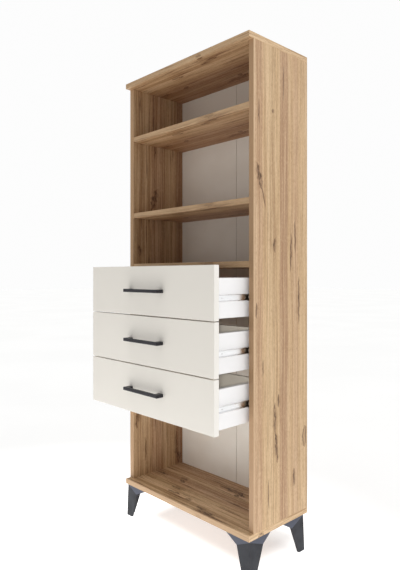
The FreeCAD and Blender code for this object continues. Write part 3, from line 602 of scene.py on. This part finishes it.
def band_colours(tree, across, bands):
    """The broad bands of a figure, over the place across the board."""
    first = bands[0][0]
    last = bands[-1][0]
    share = calc(tree, "DIVIDE", calc(tree, "SUBTRACT", across, first), last - first)
    ramp = put(tree, "ValToRGB", {"Fac": share})
    stops = ramp.color_ramp.elements
    while len(stops) < len(bands):
        stops.new(1.0)
    for stop, (place, colour) in zip(stops, bands):
        stop.position = (place - first) / (last - first)
        stop.color = colour
    return ramp.outputs[0]


def cracks_and_knots(tree, across, along, seed, marks):
    """The dark cores of a board's cracks and knots, and the halos about them."""
    strokes = group_in(tree, CRACK_STROKES, {"Across": across, "Along": along, "Seed": seed})
    core = 0.0
    halo = 0.0
    for mark in marks:
        given = {
            "Across": across,
            "Along": along,
            "Ripple": strokes["Ripple"],
            "Strokes": strokes["Strokes"],
            "Core Before": core,
            "Halo Before": halo,
        }
        given.update(zip(MARK_MEASURES, mark))
        made = group_in(tree, CRACK_MARK, given)
        core = made["Core"]
        halo = made["Halo"]
    return core, halo


def decor_finish(name, board, across_of, along_of, painted_shade_of, painted_shade, seed, bands, marks, strengths):
    """Printed wood decor with streaks, pores, cracks, knots and front edging, plus painted shade inside and
    a painted highlight line.
    """
    streak_depth, dash_depth, highlight_depth, edging_depth = strengths
    painted_shade_depth, painted_shade_colour = painted_shade
    finish, tree, shader, place = new_finish(name)
    axes = axes_of(tree, place)
    across = across_of(tree, axes)
    along = along_of(tree, axes)
    figure = group_in(tree, BOARD_FIGURE, {"Across": across, "Along": along, "Seed": seed})
    colour = band_colours(tree, figure["Bent"], bands)
    for streak in STREAKS:
        dark_streak = spread(tree, figure[streak], *DARK_STREAK)
        colour = tinted(tree, dark_streak, streak_depth, colour, STREAK_BROWN)
        pale_streak = spread(tree, figure[streak], *PALE_STREAK)
        colour = tinted(tree, pale_streak, PALE_STREAK_DEPTH, colour, STREAK_PALE)
    dark_fibre = spread(tree, figure["Fibre"], *DARK_FIBRE)
    colour = tinted(tree, dark_fibre, DARK_FIBRE_DEPTH, colour, STREAK_BROWN)
    dark_fleck = spread(tree, figure["Fleck"], *DARK_FLECK)
    colour = tinted(tree, dark_fleck, DARK_FLECK_DEPTH, colour, STREAK_BROWN)
    pale_fleck = spread(tree, figure["Fleck"], *PALE_FLECK)
    colour = tinted(tree, pale_fleck, PALE_FLECK_DEPTH, colour, STREAK_PALE)
    colour = tinted(tree, figure["Pore"], PORE_DEPTH, colour, PORE_BROWN)
    colour = tinted(tree, figure["Dash"], dash_depth, colour, DASH_BROWN)
    core, halo = cracks_and_knots(tree, across, along, seed, marks)
    colour = tinted(tree, halo, HALO_DEPTH, colour, KNOT_BROWN)
    colour = tinted(tree, core, CRACK_DEPTH, colour, KNOT_DARK)
    # Painted shade: the faces inside the case are painted a deeper brown.
    colour = tinted(tree, painted_shade_of(tree, axes), painted_shade_depth, colour, painted_shade_colour)
    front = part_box(board)[0].y
    # Painted highlight: a pale line along the front edge, where a rounded edge would catch light.
    rim = spread(tree, axes["Y"], front + EDGE_HIGHLIGHT_WIDTH + EDGE_HIGHLIGHT_BLEND, front + EDGE_HIGHLIGHT_WIDTH)
    colour = tinted(tree, rim, highlight_depth, colour, STREAK_PALE)
    face = spread(tree, axes["Y"], front + SKIN_END, front + FRONT_SKIN)
    colour = tinted(tree, face, edging_depth, colour, EDGE_BROWN)
    tree.links.new(colour, shader.inputs["Base Color"])
    rough = spread(tree, figure["Fibre"], *ROUGHNESS_LEVELS, low_to=0.42, high_to=0.56)
    tree.links.new(rough, shader.inputs["Roughness"])
    shader.inputs["Specular IOR Level"].default_value = 0.3
    pores = calc(tree, "MULTIPLY", figure["Pore"], PORE_RELIEF)
    height = calc(tree, "SUBTRACT", calc(tree, "SUBTRACT", figure["Fibre"], pores), core)
    raised(tree, shader, height, strength=0.25, distance=RELIEF)
    return finish


def coated_finish(name, main, second, cloud, grain, roughness, relief, metallic=0.0, shine=0.5):
    """A painted, coated, moulded or plated surface with a faint clouding and a fine grain."""
    finish, tree, shader, place = new_finish(name)
    skin = skin_in(tree, place, cloud, grain)
    tree.links.new(clouded(tree, skin, main, second), shader.inputs["Base Color"])
    cloud_roughness(tree, shader, skin, roughness - ROUGHNESS_CHANGE, roughness + ROUGHNESS_CHANGE)
    shader.inputs["Metallic"].default_value = metallic
    shader.inputs["Specular IOR Level"].default_value = shine
    raised(tree, shader, skin["Grain"], relief, RELIEF)
    return finish


def side_finish(side):
    """Decor of a side panel: the grain stands upright, and the left side mirrors the right one."""
    panel = side + "_side_panel"
    low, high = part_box(panel)
    inner = min(abs(low.x), abs(high.x))

    def across_of(tree, axes):
        wrap = calc(tree, "SUBTRACT", axes["X"], high.x)
        if side == "right":
            return calc(tree, "ADD", axes["Y"], wrap)
        return calc(tree, "ADD", calc(tree, "SUBTRACT", MIRROR_SUM, axes["Y"]), wrap)

    def along_of(tree, axes):
        return axes["Z"]

    # Painted shade on the inner face of a side panel.
    def painted_shade_of(tree, axes):
        distance = calc(tree, "ABSOLUTE", axes["X"])
        return spread(tree, distance, inner + SKIN_END, inner + SKIN)

    widen = SIDE_MARK_WIDTHS[side]
    marks = []
    for across, along, half_length, half_width, lean, ring in SIDE_MARKS:
        marks.append((across, along, half_length, half_width * widen, lean, ring))
    return decor_finish(
        side + " side decor", panel, across_of, along_of, painted_shade_of, SIDE_INNER_PAINTED_SHADE,
        SIDE_SEED, SIDE_BANDS, marks, SIDE_STRENGTHS[side],
    )


def board_finish(board):
    """Decor of a level board: the grain runs from side to side and wraps over the front edge."""
    low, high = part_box(board)

    def at_end(tree, axes):
        return spread(tree, calc(tree, "ABSOLUTE", axes["X"]), high.x - SKIN_END, high.x - SKIN)

    def across_of(tree, axes):
        height = calc(tree, "SUBTRACT", axes["Z"], low.z)
        return between(tree, at_end(tree, axes), calc(tree, "ADD", axes["Y"], height), height)

    def along_of(tree, axes):
        return between(tree, at_end(tree, axes), axes["X"], axes["Y"])

    # Painted shade on an underside, deeper towards the rear.
    def painted_shade_of(tree, axes):
        below = spread(tree, axes["Z"], low.z + SKIN_END, low.z + SKIN)
        return calc(tree, "MULTIPLY", below, spread(tree, axes["Y"], low.y, high.y, *UNDERSIDE_SHADE_SHARES))

    marks = BOARD_MARKS
    strengths = BOARD_STRENGTHS
    if board == "bottom_panel":
        marks = BOTTOM_MARKS
        strengths = BOTTOM_STRENGTHS
    return decor_finish(
        board.replace("_", " ") + " decor", board, across_of, along_of, painted_shade_of, UNDERSIDE_PAINTED_SHADE,
        BOARD_SEED, BOARD_BANDS, marks, strengths,
    )


def back_finish():
    """Thin hardboard: cream lacquer inside the case with painted shade above the upper shelf, bare brown
    fibre behind it.
    """
    finish, tree, shader, place = new_finish("back board lacquer")
    skin = skin_in(tree, place, cloud=9.0, grain=700.0)
    axes = axes_of(tree, place)
    low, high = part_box("back_board_left")
    bare_from, bare_to = [low.y + share * (high.y - low.y) for share in LACQUER_SHARES]
    bare = spread(tree, axes["Y"], bare_from, bare_to)
    lacquer = clouded(tree, skin, BACK_CREAM, BACK_CREAM_SHADE)
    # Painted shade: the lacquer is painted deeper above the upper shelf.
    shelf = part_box("upper_shelf")[0].z
    above = spread(tree, axes["Z"], shelf - BACK_SHADE_BLEND, shelf + BACK_SHADE_BLEND)
    lacquer = mixed(tree, above, lacquer, BACK_CREAM_PAINTED_SHADE)
    fibre = mixed(tree, spread(tree, skin["Grain"], *COLOUR_LEVELS), HARDBOARD, HARDBOARD_DARK)
    tree.links.new(mixed(tree, bare, lacquer, fibre), shader.inputs["Base Color"])
    rough = spread(tree, bare, 0.0, 1.0, low_to=0.5, high_to=0.85)
    tree.links.new(rough, shader.inputs["Roughness"])
    raised(tree, shader, skin["Grain"], strength=0.2, distance=BACK_RELIEF)
    return finish


def leg_finish():
    """Moulded anthracite plastic, with a painted highlight on the flare that leans back under the case."""
    finish, tree, shader, place = new_finish("leg plastic")
    skin = skin_in(tree, place, cloud=30.0, grain=1400.0)
    slope = axes_of(tree, put(tree, "TexCoord").outputs["Normal"])["Z"]
    wing = clouded(tree, skin, LEG_GREY, LEG_DARK)
    # Painted highlight: faces that tilt up are painted a lighter blue-grey.
    flare = calc(tree, "MULTIPLY", spread(tree, slope, *FLARE_HIGHLIGHT_FROM), spread(tree, slope, *FLARE_HIGHLIGHT_TO))
    tree.links.new(mixed(tree, flare, wing, LEG_FLARE_HIGHLIGHT), shader.inputs["Base Color"])
    cloud_roughness(tree, shader, skin, low=0.45, high=0.55)
    shader.inputs["Specular IOR Level"].default_value = 0.2
    raised(tree, shader, skin["Grain"], strength=0.25, distance=RELIEF)
    return finish


def front_finish():
    """Cream melamine, with a painted highlight: the end faces of the drawer fronts are painted a little
    lighter.
    """
    finish = coated_finish(
        "cream front", CREAM, CREAM_WARM, cloud=5.0, grain=1600.0, roughness=0.40, relief=0.10
    )
    tree = finish.node_tree
    shader = tree.nodes["Principled BSDF"]
    face = shader.inputs["Base Color"].links[0].from_socket
    axes = axes_of(tree, put(tree, "TexCoord").outputs["Object"])
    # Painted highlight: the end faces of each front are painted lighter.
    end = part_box("upper_drawer_front")[1].x
    aside = calc(tree, "ABSOLUTE", axes["X"])
    end_highlight = spread(tree, aside, end - DRAWER_EDGE_SKIN_END, end - DRAWER_EDGE_SKIN)
    tree.links.new(mixed(tree, end_highlight, face, CREAM_END_HIGHLIGHT), shader.inputs["Base Color"])
    return finish


def slide_finish(reflection_from=None):
    """Bright zinc plating with faint rolling lines, and a painted brown reflection of the case side behind
    a place along the slide.
    """
    finish, tree, shader, place = new_finish("slide zinc")
    stretched = put(tree, "Mapping", {"Vector": place, "Scale": ROLLING_SCALE}).outputs[0]
    lines = noise(tree, stretched, detail=3.0, roughness=0.6)
    skin = skin_in(tree, place, cloud=60.0, grain=1500.0)
    colour = mixed(tree, spread(tree, lines, *ROLLING_DULL), ZINC, ZINC_DULL)
    if reflection_from is not None:
        # Painted reflection: the rail's rear part is tinted brown like the dark case side it mirrors.
        reflection_mask = spread(tree, axes_of(tree, place)["Y"], reflection_from, reflection_from + REFLECTION_FADE)
        colour = tinted(tree, reflection_mask, REFLECTION_DEPTH, colour, RAIL_REFLECTION_BROWN)
    tree.links.new(colour, shader.inputs["Base Color"])
    cloud_roughness(tree, shader, skin, low=0.26, high=0.40)
    shader.inputs["Metallic"].default_value = 1.0
    raised(tree, shader, lines, strength=0.15, distance=ROLLING_RELIEF)
    return finish


def dress(names, finish):
    """Gives CAD pieces their finish."""
    for name in names:
        for slot in nodes[name].material_slots:
            slot.material = finish


def of_drawers(*endings):
    """The names of the same pieces of all three drawers."""
    return [drawer + "_" + ending for drawer in DRAWERS for ending in endings]


def dress_case():
    """Boards, back, tape and legs."""
    for side in SIDES:
        dress([side + "_side_panel"], side_finish(side))
    for board in BOARDS:
        dress([board], board_finish(board))
    dress(BACKS, back_finish())
    tape = coated_finish(
        "paper tape", TAPE_PAPER, TAPE_SHADE, cloud=40.0, grain=900.0, roughness=0.8, relief=0.4
    )
    dress(["back_fold_tape"], tape)
    dress([end + "_" + side + "_leg" for end in ("front", "rear") for side in SIDES], leg_finish())


def dress_drawers():
    """Fronts, boxes, handles and slides."""
    dress(of_drawers("drawer_front"), front_finish())
    box = coated_finish(
        "white box", BOX_WHITE, BOX_SHADE, cloud=7.0, grain=1300.0, roughness=0.42, relief=0.12
    )
    dress(of_drawers("drawer_left_side", "drawer_right_side", "drawer_back", "drawer_bottom"), box)
    handle = coated_finish(
        "handle paint", HANDLE_GREY, HANDLE_DARK,
        cloud=50.0, grain=1900.0, roughness=0.42, relief=0.22, shine=0.35,
    )
    dress(of_drawers("drawer_handle"), handle)
    dress(of_drawers("left_runner", "right_runner", "ball_cages"), slide_finish())
    # The rails get the painted reflection on their rear part.
    rail = slide_finish(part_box("upper_left_rail")[0].y + REFLECTION_START)
    dress(of_drawers("left_rail", "right_rail"), rail)
    ball = coated_finish(
        "ball steel", BALL_STEEL, BALL_DULL,
        cloud=500.0, grain=3000.0, roughness=0.12, relief=0.05, metallic=1.0,
    )
    dress(of_drawers("bearing_balls"), ball)


def begin_alone():
    """Nothing is selected, so that the next operator acts on new work only."""
    bpy.ops.object.select_all(action="DESELECT")


def turned(name, profile):
    """A round piece about the Z axis: its outline is drawn from point to point and spun."""
    begin_alone()
    bpy.ops.mesh.primitive_plane_add(size=START_SIZE)
    piece = bpy.context.object
    piece.name = name
    bpy.ops.object.mode_set(mode="EDIT")
    bpy.ops.mesh.select_all(action="SELECT")
    bpy.ops.mesh.merge(type="CENTER")
    radius, height = profile[0]
    bpy.ops.transform.translate(value=(radius, 0.0, height))
    for next_radius, next_height in profile[1:]:
        step = (next_radius - radius, 0.0, next_height - height)
        bpy.ops.mesh.extrude_vertices_move(TRANSFORM_OT_translate={"value": step})
        radius, height = next_radius, next_height
    bpy.ops.mesh.select_all(action="SELECT")
    bpy.ops.mesh.spin(steps=TURNED_SIDES, angle=2 * math.pi, center=(0.0, 0.0, 0.0), axis=UP)
    bpy.ops.mesh.select_all(action="SELECT")
    bpy.ops.mesh.remove_doubles(threshold=MERGE)
    bpy.ops.mesh.normals_make_consistent(inside=False)
    bpy.ops.mesh.dissolve_limited(angle_limit=FLAT_ANGLE)
    bpy.ops.object.mode_set(mode="OBJECT")
    return piece


def tapered_bar(turn, span, width, depth):
    """A bar about the Z axis whose lower face is smaller, to cut one arm of a cross."""
    begin_alone()
    bpy.ops.mesh.primitive_cube_add(size=1.0, rotation=(0.0, 0.0, turn), scale=(span, width, 2 * depth))
    bar = bpy.context.object
    bpy.ops.object.mode_set(mode="EDIT")
    bpy.ops.mesh.select_all(action="DESELECT")
    bpy.ops.object.mode_set(mode="OBJECT")
    for face in bar.data.polygons:
        face.select = face.normal.z < FACING_DOWN
    bpy.ops.object.mode_set(mode="EDIT")
    bpy.ops.transform.resize(value=(RECESS_FLOOR, RECESS_FLOOR, 1.0))
    bpy.ops.object.mode_set(mode="OBJECT")
    return bar


def cut_cross(piece, span, width, depth):
    """A cross recess sunk into the top of a turned piece, which lies at height zero."""
    for turn in (0.0, math.pi / 2):
        cutter = tapered_bar(turn, span, width, depth)
        begin_alone()
        piece.select_set(True)
        bpy.context.view_layer.objects.active = piece
        bpy.ops.object.modifier_add(type="BOOLEAN")
        recess = piece.modifiers[-1]
        recess.object = cutter
        recess.operation = "DIFFERENCE"
        bpy.ops.object.modifier_apply(modifier=recess.name)
        bpy.data.objects.remove(cutter)
    bpy.ops.object.mode_set(mode="EDIT")
    bpy.ops.mesh.select_all(action="SELECT")
    bpy.ops.mesh.remove_doubles(threshold=FINE_MERGE)
    bpy.ops.mesh.dissolve_degenerate(threshold=FINE_MERGE)
    bpy.ops.mesh.quads_convert_to_tris()
    bpy.ops.object.mode_set(mode="OBJECT")
    bpy.ops.object.shade_smooth_by_angle(angle=ROUND_ANGLE)


def screw_profile(length, head_diameter, head_height, shank_diameter):
    """Half outline from the top of the head, at height zero, to the tip, with ridges for the thread."""
    head = head_diameter / 2
    shank = shank_diameter / 2
    core = shank * (1 - THREAD_DEPTH)
    points = [(0.0, 0.0)]
    if head_height > 0:
        tip = SCREW_TIP * shank_diameter
        points += [(HEAD_TOP * head, 0.0), (head, -HEAD_ROUNDING * head_height)]
        points += [(head, -head_height), (core, -head_height)]
    else:
        tip = BOLT_TIP * shank_diameter
        points += [(BOLT_END * shank, 0.0), (core, -BOLT_BEVEL * shank_diameter)]
    pitch = THREAD_PITCH * shank_diameter
    ridges = int((length - head_height - tip) / pitch)
    for ridge in range(ridges):
        top = -head_height - pitch * ridge
        points += [(shank, top - pitch / 2), (core, top - pitch)]
    points += [(TIP_POINT * core, -length), (0.0, -length)]
    return points


def loose_parts(node):
    """The separate solids of a CAD node, as merged meshes that are only measured."""
    begin_alone()
    copy = bpy.data.objects.new("measured", nodes[node].data.copy())
    bpy.context.collection.objects.link(copy)
    copy.select_set(True)
    bpy.context.view_layer.objects.active = copy
    bpy.ops.object.mode_set(mode="EDIT")
    bpy.ops.mesh.select_all(action="SELECT")
    bpy.ops.mesh.remove_doubles(threshold=MERGE)
    bpy.ops.mesh.separate(type="LOOSE")
    bpy.ops.object.mode_set(mode="OBJECT")
    return list(bpy.context.selected_objects)


def box_of(part):
    """Lowest and highest corner of a measured solid."""
    corners = [vertex.co for vertex in part.data.vertices]
    low = Vector([min(corner[axis] for corner in corners) for axis in range(3)])
    high = Vector([max(corner[axis] for corner in corners) for axis in range(3)])
    return low, high


def head_of(part):
    """Where the head of a measured screw is, which way it faces, and the screw's length."""
    low, high = box_of(part)
    middle = (low + high) / 2
    spans = list(high - low)
    length = max(spans)
    axis = spans.index(length)
    aside = []
    for vertex in part.data.vertices:
        offset = vertex.co - middle
        level = offset[axis]
        offset[axis] = 0.0
        aside.append((offset.length, level))
    widest = max(aside)[0]
    balance = sum(level for distance, level in aside if distance > RIM_SHARE * widest)
    out = Vector((0.0, 0.0, 0.0))
    out[axis] = -1.0 if balance < 0 else 1.0
    return middle + out * length / 2, out, length


def set_in(node, body, finish, copies):
    """Copies of turned pieces, each with its place and facing, stand for a CAD node as one piece."""
    placed = []
    for master, place, out in copies:
        copy = bpy.data.objects.new(node + "_turned", master.data.copy())
        bpy.context.collection.objects.link(copy)
        turn = UP.rotation_difference(out)
        copy.matrix_world = Matrix.Translation(place) @ turn.to_matrix().to_4x4()
        placed.append(copy)
    begin_alone()
    for copy in placed:
        copy.select_set(True)
    bpy.context.view_layer.objects.active = placed[0]
    bpy.ops.object.join()
    bpy.ops.object.transform_apply(location=True, rotation=True, scale=True)
    piece = bpy.context.object
    piece.data.materials.clear()
    piece.data.materials.append(finish)
    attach(piece, body)
    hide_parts(node)


def turned_screws():
    """One screw or bolt of each kind, threaded, and with a cross recess in each head."""
    masters = {}
    for kind, sizes in FASTENERS.items():
        masters[kind] = turned(kind, screw_profile(*sizes))
        head_diameter, head_height = sizes[1:3]
        if head_height > 0:
            span = RECESS_SPAN * head_diameter
            width = RECESS_WIDTH * head_diameter
            cut_cross(masters[kind], span, width, RECESS_DEPTH * head_height)
    return masters


def fit_fasteners():
    """Screws and bolts with threads in the places of the plain CAD ones, and zinc for the cam bolts."""
    zinc = coated_finish(
        "screw zinc", SCREW_BRIGHT, SCREW_DULL,
        cloud=300.0, grain=2500.0, roughness=0.32, relief=0.1, metallic=1.0,
    )
    dress(["shelf_cam_bolts"], zinc)
    masters = turned_screws()
    carriers = {"case_screws": "case", "leg_screws": "case", "runner_screws": "case"}
    for drawer in DRAWERS:
        carriers[drawer + "_drawer_fasteners"] = drawer + "_drawer"
    for node, body in carriers.items():
        copies = []
        for part in loose_parts(node):
            place, out, length = head_of(part)
            kind = min(FASTENERS, key=lambda name: abs(FASTENERS[name][0] - length))
            copies.append((masters[kind], place, out))
            bpy.data.objects.remove(part)
        set_in(node, body, zinc, copies)
    for master in masters.values():
        bpy.data.objects.remove(master)


def fit_cams():
    """Round cams with a cross slot in the face that shows."""
    cast = coated_finish(
        "cast cam", CAST_ZINC, CAST_ZINC_DULL,
        cloud=260.0, grain=1800.0, roughness=0.45, relief=0.3, metallic=1.0,
    )
    profile = [(0.0, 0.0), (CAM_RADIUS - CAM_BEVEL, 0.0), (CAM_RADIUS, -CAM_BEVEL)]
    profile += [(CAM_RADIUS, -CAM_HEIGHT), (0.0, -CAM_HEIGHT)]
    master = turned("cam", profile)
    cut_cross(master, *CAM_SLOT)
    open_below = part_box("drawer_shelf")[1].z
    copies = []
    for part in loose_parts("shelf_cams"):
        low, high = box_of(part)
        middle = (low + high) / 2
        if middle.z < open_below:
            copies.append((master, Vector((middle.x, middle.y, low.z)), DOWN))
        else:
            copies.append((master, Vector((middle.x, middle.y, high.z)), UP))
        bpy.data.objects.remove(part)
    set_in("shelf_cams", "case", cast, copies)
    bpy.data.objects.remove(master)


def make_floor():
    """A wide pale light table, brightest in front of the niche and dimmer under the case."""
    bpy.ops.mesh.primitive_plane_add(size=FLOOR_SIZE)
    floor = bpy.context.object
    floor.name = "studio_floor"
    finish = coated_finish(
        "floor paint", FLOOR_PALE, FLOOR_SHADE,
        cloud=0.8, grain=60.0, roughness=0.75, relief=0.02, shine=0.0,
    )
    tree = finish.node_tree
    shader = tree.nodes["Principled BSDF"]
    shader.inputs["Emission Color"].default_value = WHITE
    place = put(tree, "TexCoord").outputs["Object"]
    given = {0: place, 1: FLOOR_PATCH_PLACE}
    away = put(tree, "VectorMath", given, operation="DISTANCE").outputs["Value"]
    glow = spread(tree, away, *FLOOR_PATCH_REACH, FLOOR_GLOW, FLOOR_PATCH_GLOW)
    low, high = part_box("bottom_panel")
    axes = axes_of(tree, place)
    beside = spread(tree, calc(tree, "ABSOLUTE", axes["X"]), high.x, high.x - UNDER_CASE_EDGE)
    behind = spread(tree, axes["Y"], low.y, low.y + UNDER_CASE_EDGE)
    before = spread(tree, axes["Y"], high.y + UNDER_CASE_EDGE, high.y)
    under = calc(tree, "MULTIPLY", calc(tree, "MULTIPLY", beside, behind), before)
    left_over = calc(tree, "SUBTRACT", 1.0, calc(tree, "MULTIPLY", under, UNDER_CASE_DIMMING))
    tree.links.new(calc(tree, "MULTIPLY", glow, left_over), shader.inputs["Emission Strength"])
    floor.data.materials.append(finish)


def make_sky():
    """White light from all round, dimmer in front of the bookcase than behind it."""
    sky = bpy.data.worlds.new("white studio")
    sky.use_nodes = True
    tree = sky.node_tree
    background = tree.nodes["Background"]
    background.inputs["Color"].default_value = WHITE
    ahead = axes_of(tree, put(tree, "TexCoord").outputs["Generated"])["Y"]
    level = spread(tree, ahead, *SKY_TURN, SKY_FRONT, SKY_REAR)
    seen = put(tree, "LightPath").outputs["Is Camera Ray"]
    tree.links.new(between(tree, seen, level, SKY_REAR), background.inputs["Strength"])
    bpy.context.scene.world = sky


def soft_lamp(name, place, size, power, aim):
    """A square soft lamp, turned to its aim and unseen itself."""
    bpy.ops.object.light_add(type="AREA", location=place)
    lamp = bpy.context.object
    lamp.name = name
    lamp.data.size = size
    lamp.data.energy = power
    ahead = [target - start for target, start in zip(aim, place)]
    flat = math.hypot(ahead[0], ahead[1])
    lamp.rotation_euler = (math.atan2(flat, -ahead[2]), 0.0, math.atan2(-ahead[0], ahead[1]))
    lamp.visible_camera = False
    return lamp


def shine_only_on(lamp, names):
    """A lamp that lights these pieces alone."""
    lit = bpy.data.collections.new(lamp.name + " pieces")
    for name in names:
        lit.objects.link(nodes[name])
    lamp.light_linking.receiver_collection = lit


def make_lamps():
    """A large lamp on the right, which leaves the bays in shade, and small ones for the boxes and backs."""
    soft_lamp("softbox", SOFTBOX_PLACE, SOFTBOX_SIZE, SOFTBOX_POWER, SOFTBOX_AIM)
    box = soft_lamp("box_lamp", BOX_LAMP_PLACE, BOX_LAMP_SIZE, BOX_LAMP_POWER, BOX_LAMP_AIM)
    shine_only_on(box, of_drawers("drawer_right_side"))
    inside = soft_lamp("inside_lamp", BOX_LAMP_PLACE, BOX_LAMP_SIZE, INSIDE_LAMP_POWER, BOX_LAMP_AIM)
    inside.data.color = INSIDE_LAMP_COLOUR
    shine_only_on(inside, of_drawers("drawer_left_side", "drawer_back", "drawer_bottom"))
    niche = soft_lamp("niche_lamp", NICHE_LAMP_PLACE, NICHE_LAMP_SIZE, NICHE_LAMP_POWER, NICHE_LAMP_AIM)
    shine_only_on(niche, BACKS)


def make_overhead():
    """A broad overhead light that keeps the floor pale."""
    bpy.ops.object.light_add(type="SUN", location=OVERHEAD_PLACE)
    lamp = bpy.context.object
    lamp.name = "overhead"
    lamp.data.energy = OVERHEAD_LIGHT
    lamp.data.angle = OVERHEAD_ANGLE


def make_camera():
    """The camera, with the picture's own view."""
    bpy.ops.object.camera_add(location=EYE, rotation=(math.pi / 2, 0.0, EYE_TURN))
    camera = bpy.context.object
    camera.data.sensor_width = SENSOR
    camera.data.lens = FOCAL_PIXELS * SENSOR / IMAGE_HEIGHT
    camera.data.shift_y = (HORIZON_ROW - IMAGE_HEIGHT / 2) / IMAGE_HEIGHT
    bpy.context.scene.camera = camera


begin_alone()
make_camera()
make_sky()
make_lamps()
make_overhead()
make_floor()
dress_case()
dress_drawers()
fit_fasteners()
fit_cams()
bpy.context.scene.view_settings.view_transform = "Standard"
bpy.context.scene.cycles.max_bounces = LIGHT_BOUNCES
bpy.context.scene.cycles.diffuse_bounces = LIGHT_BOUNCES
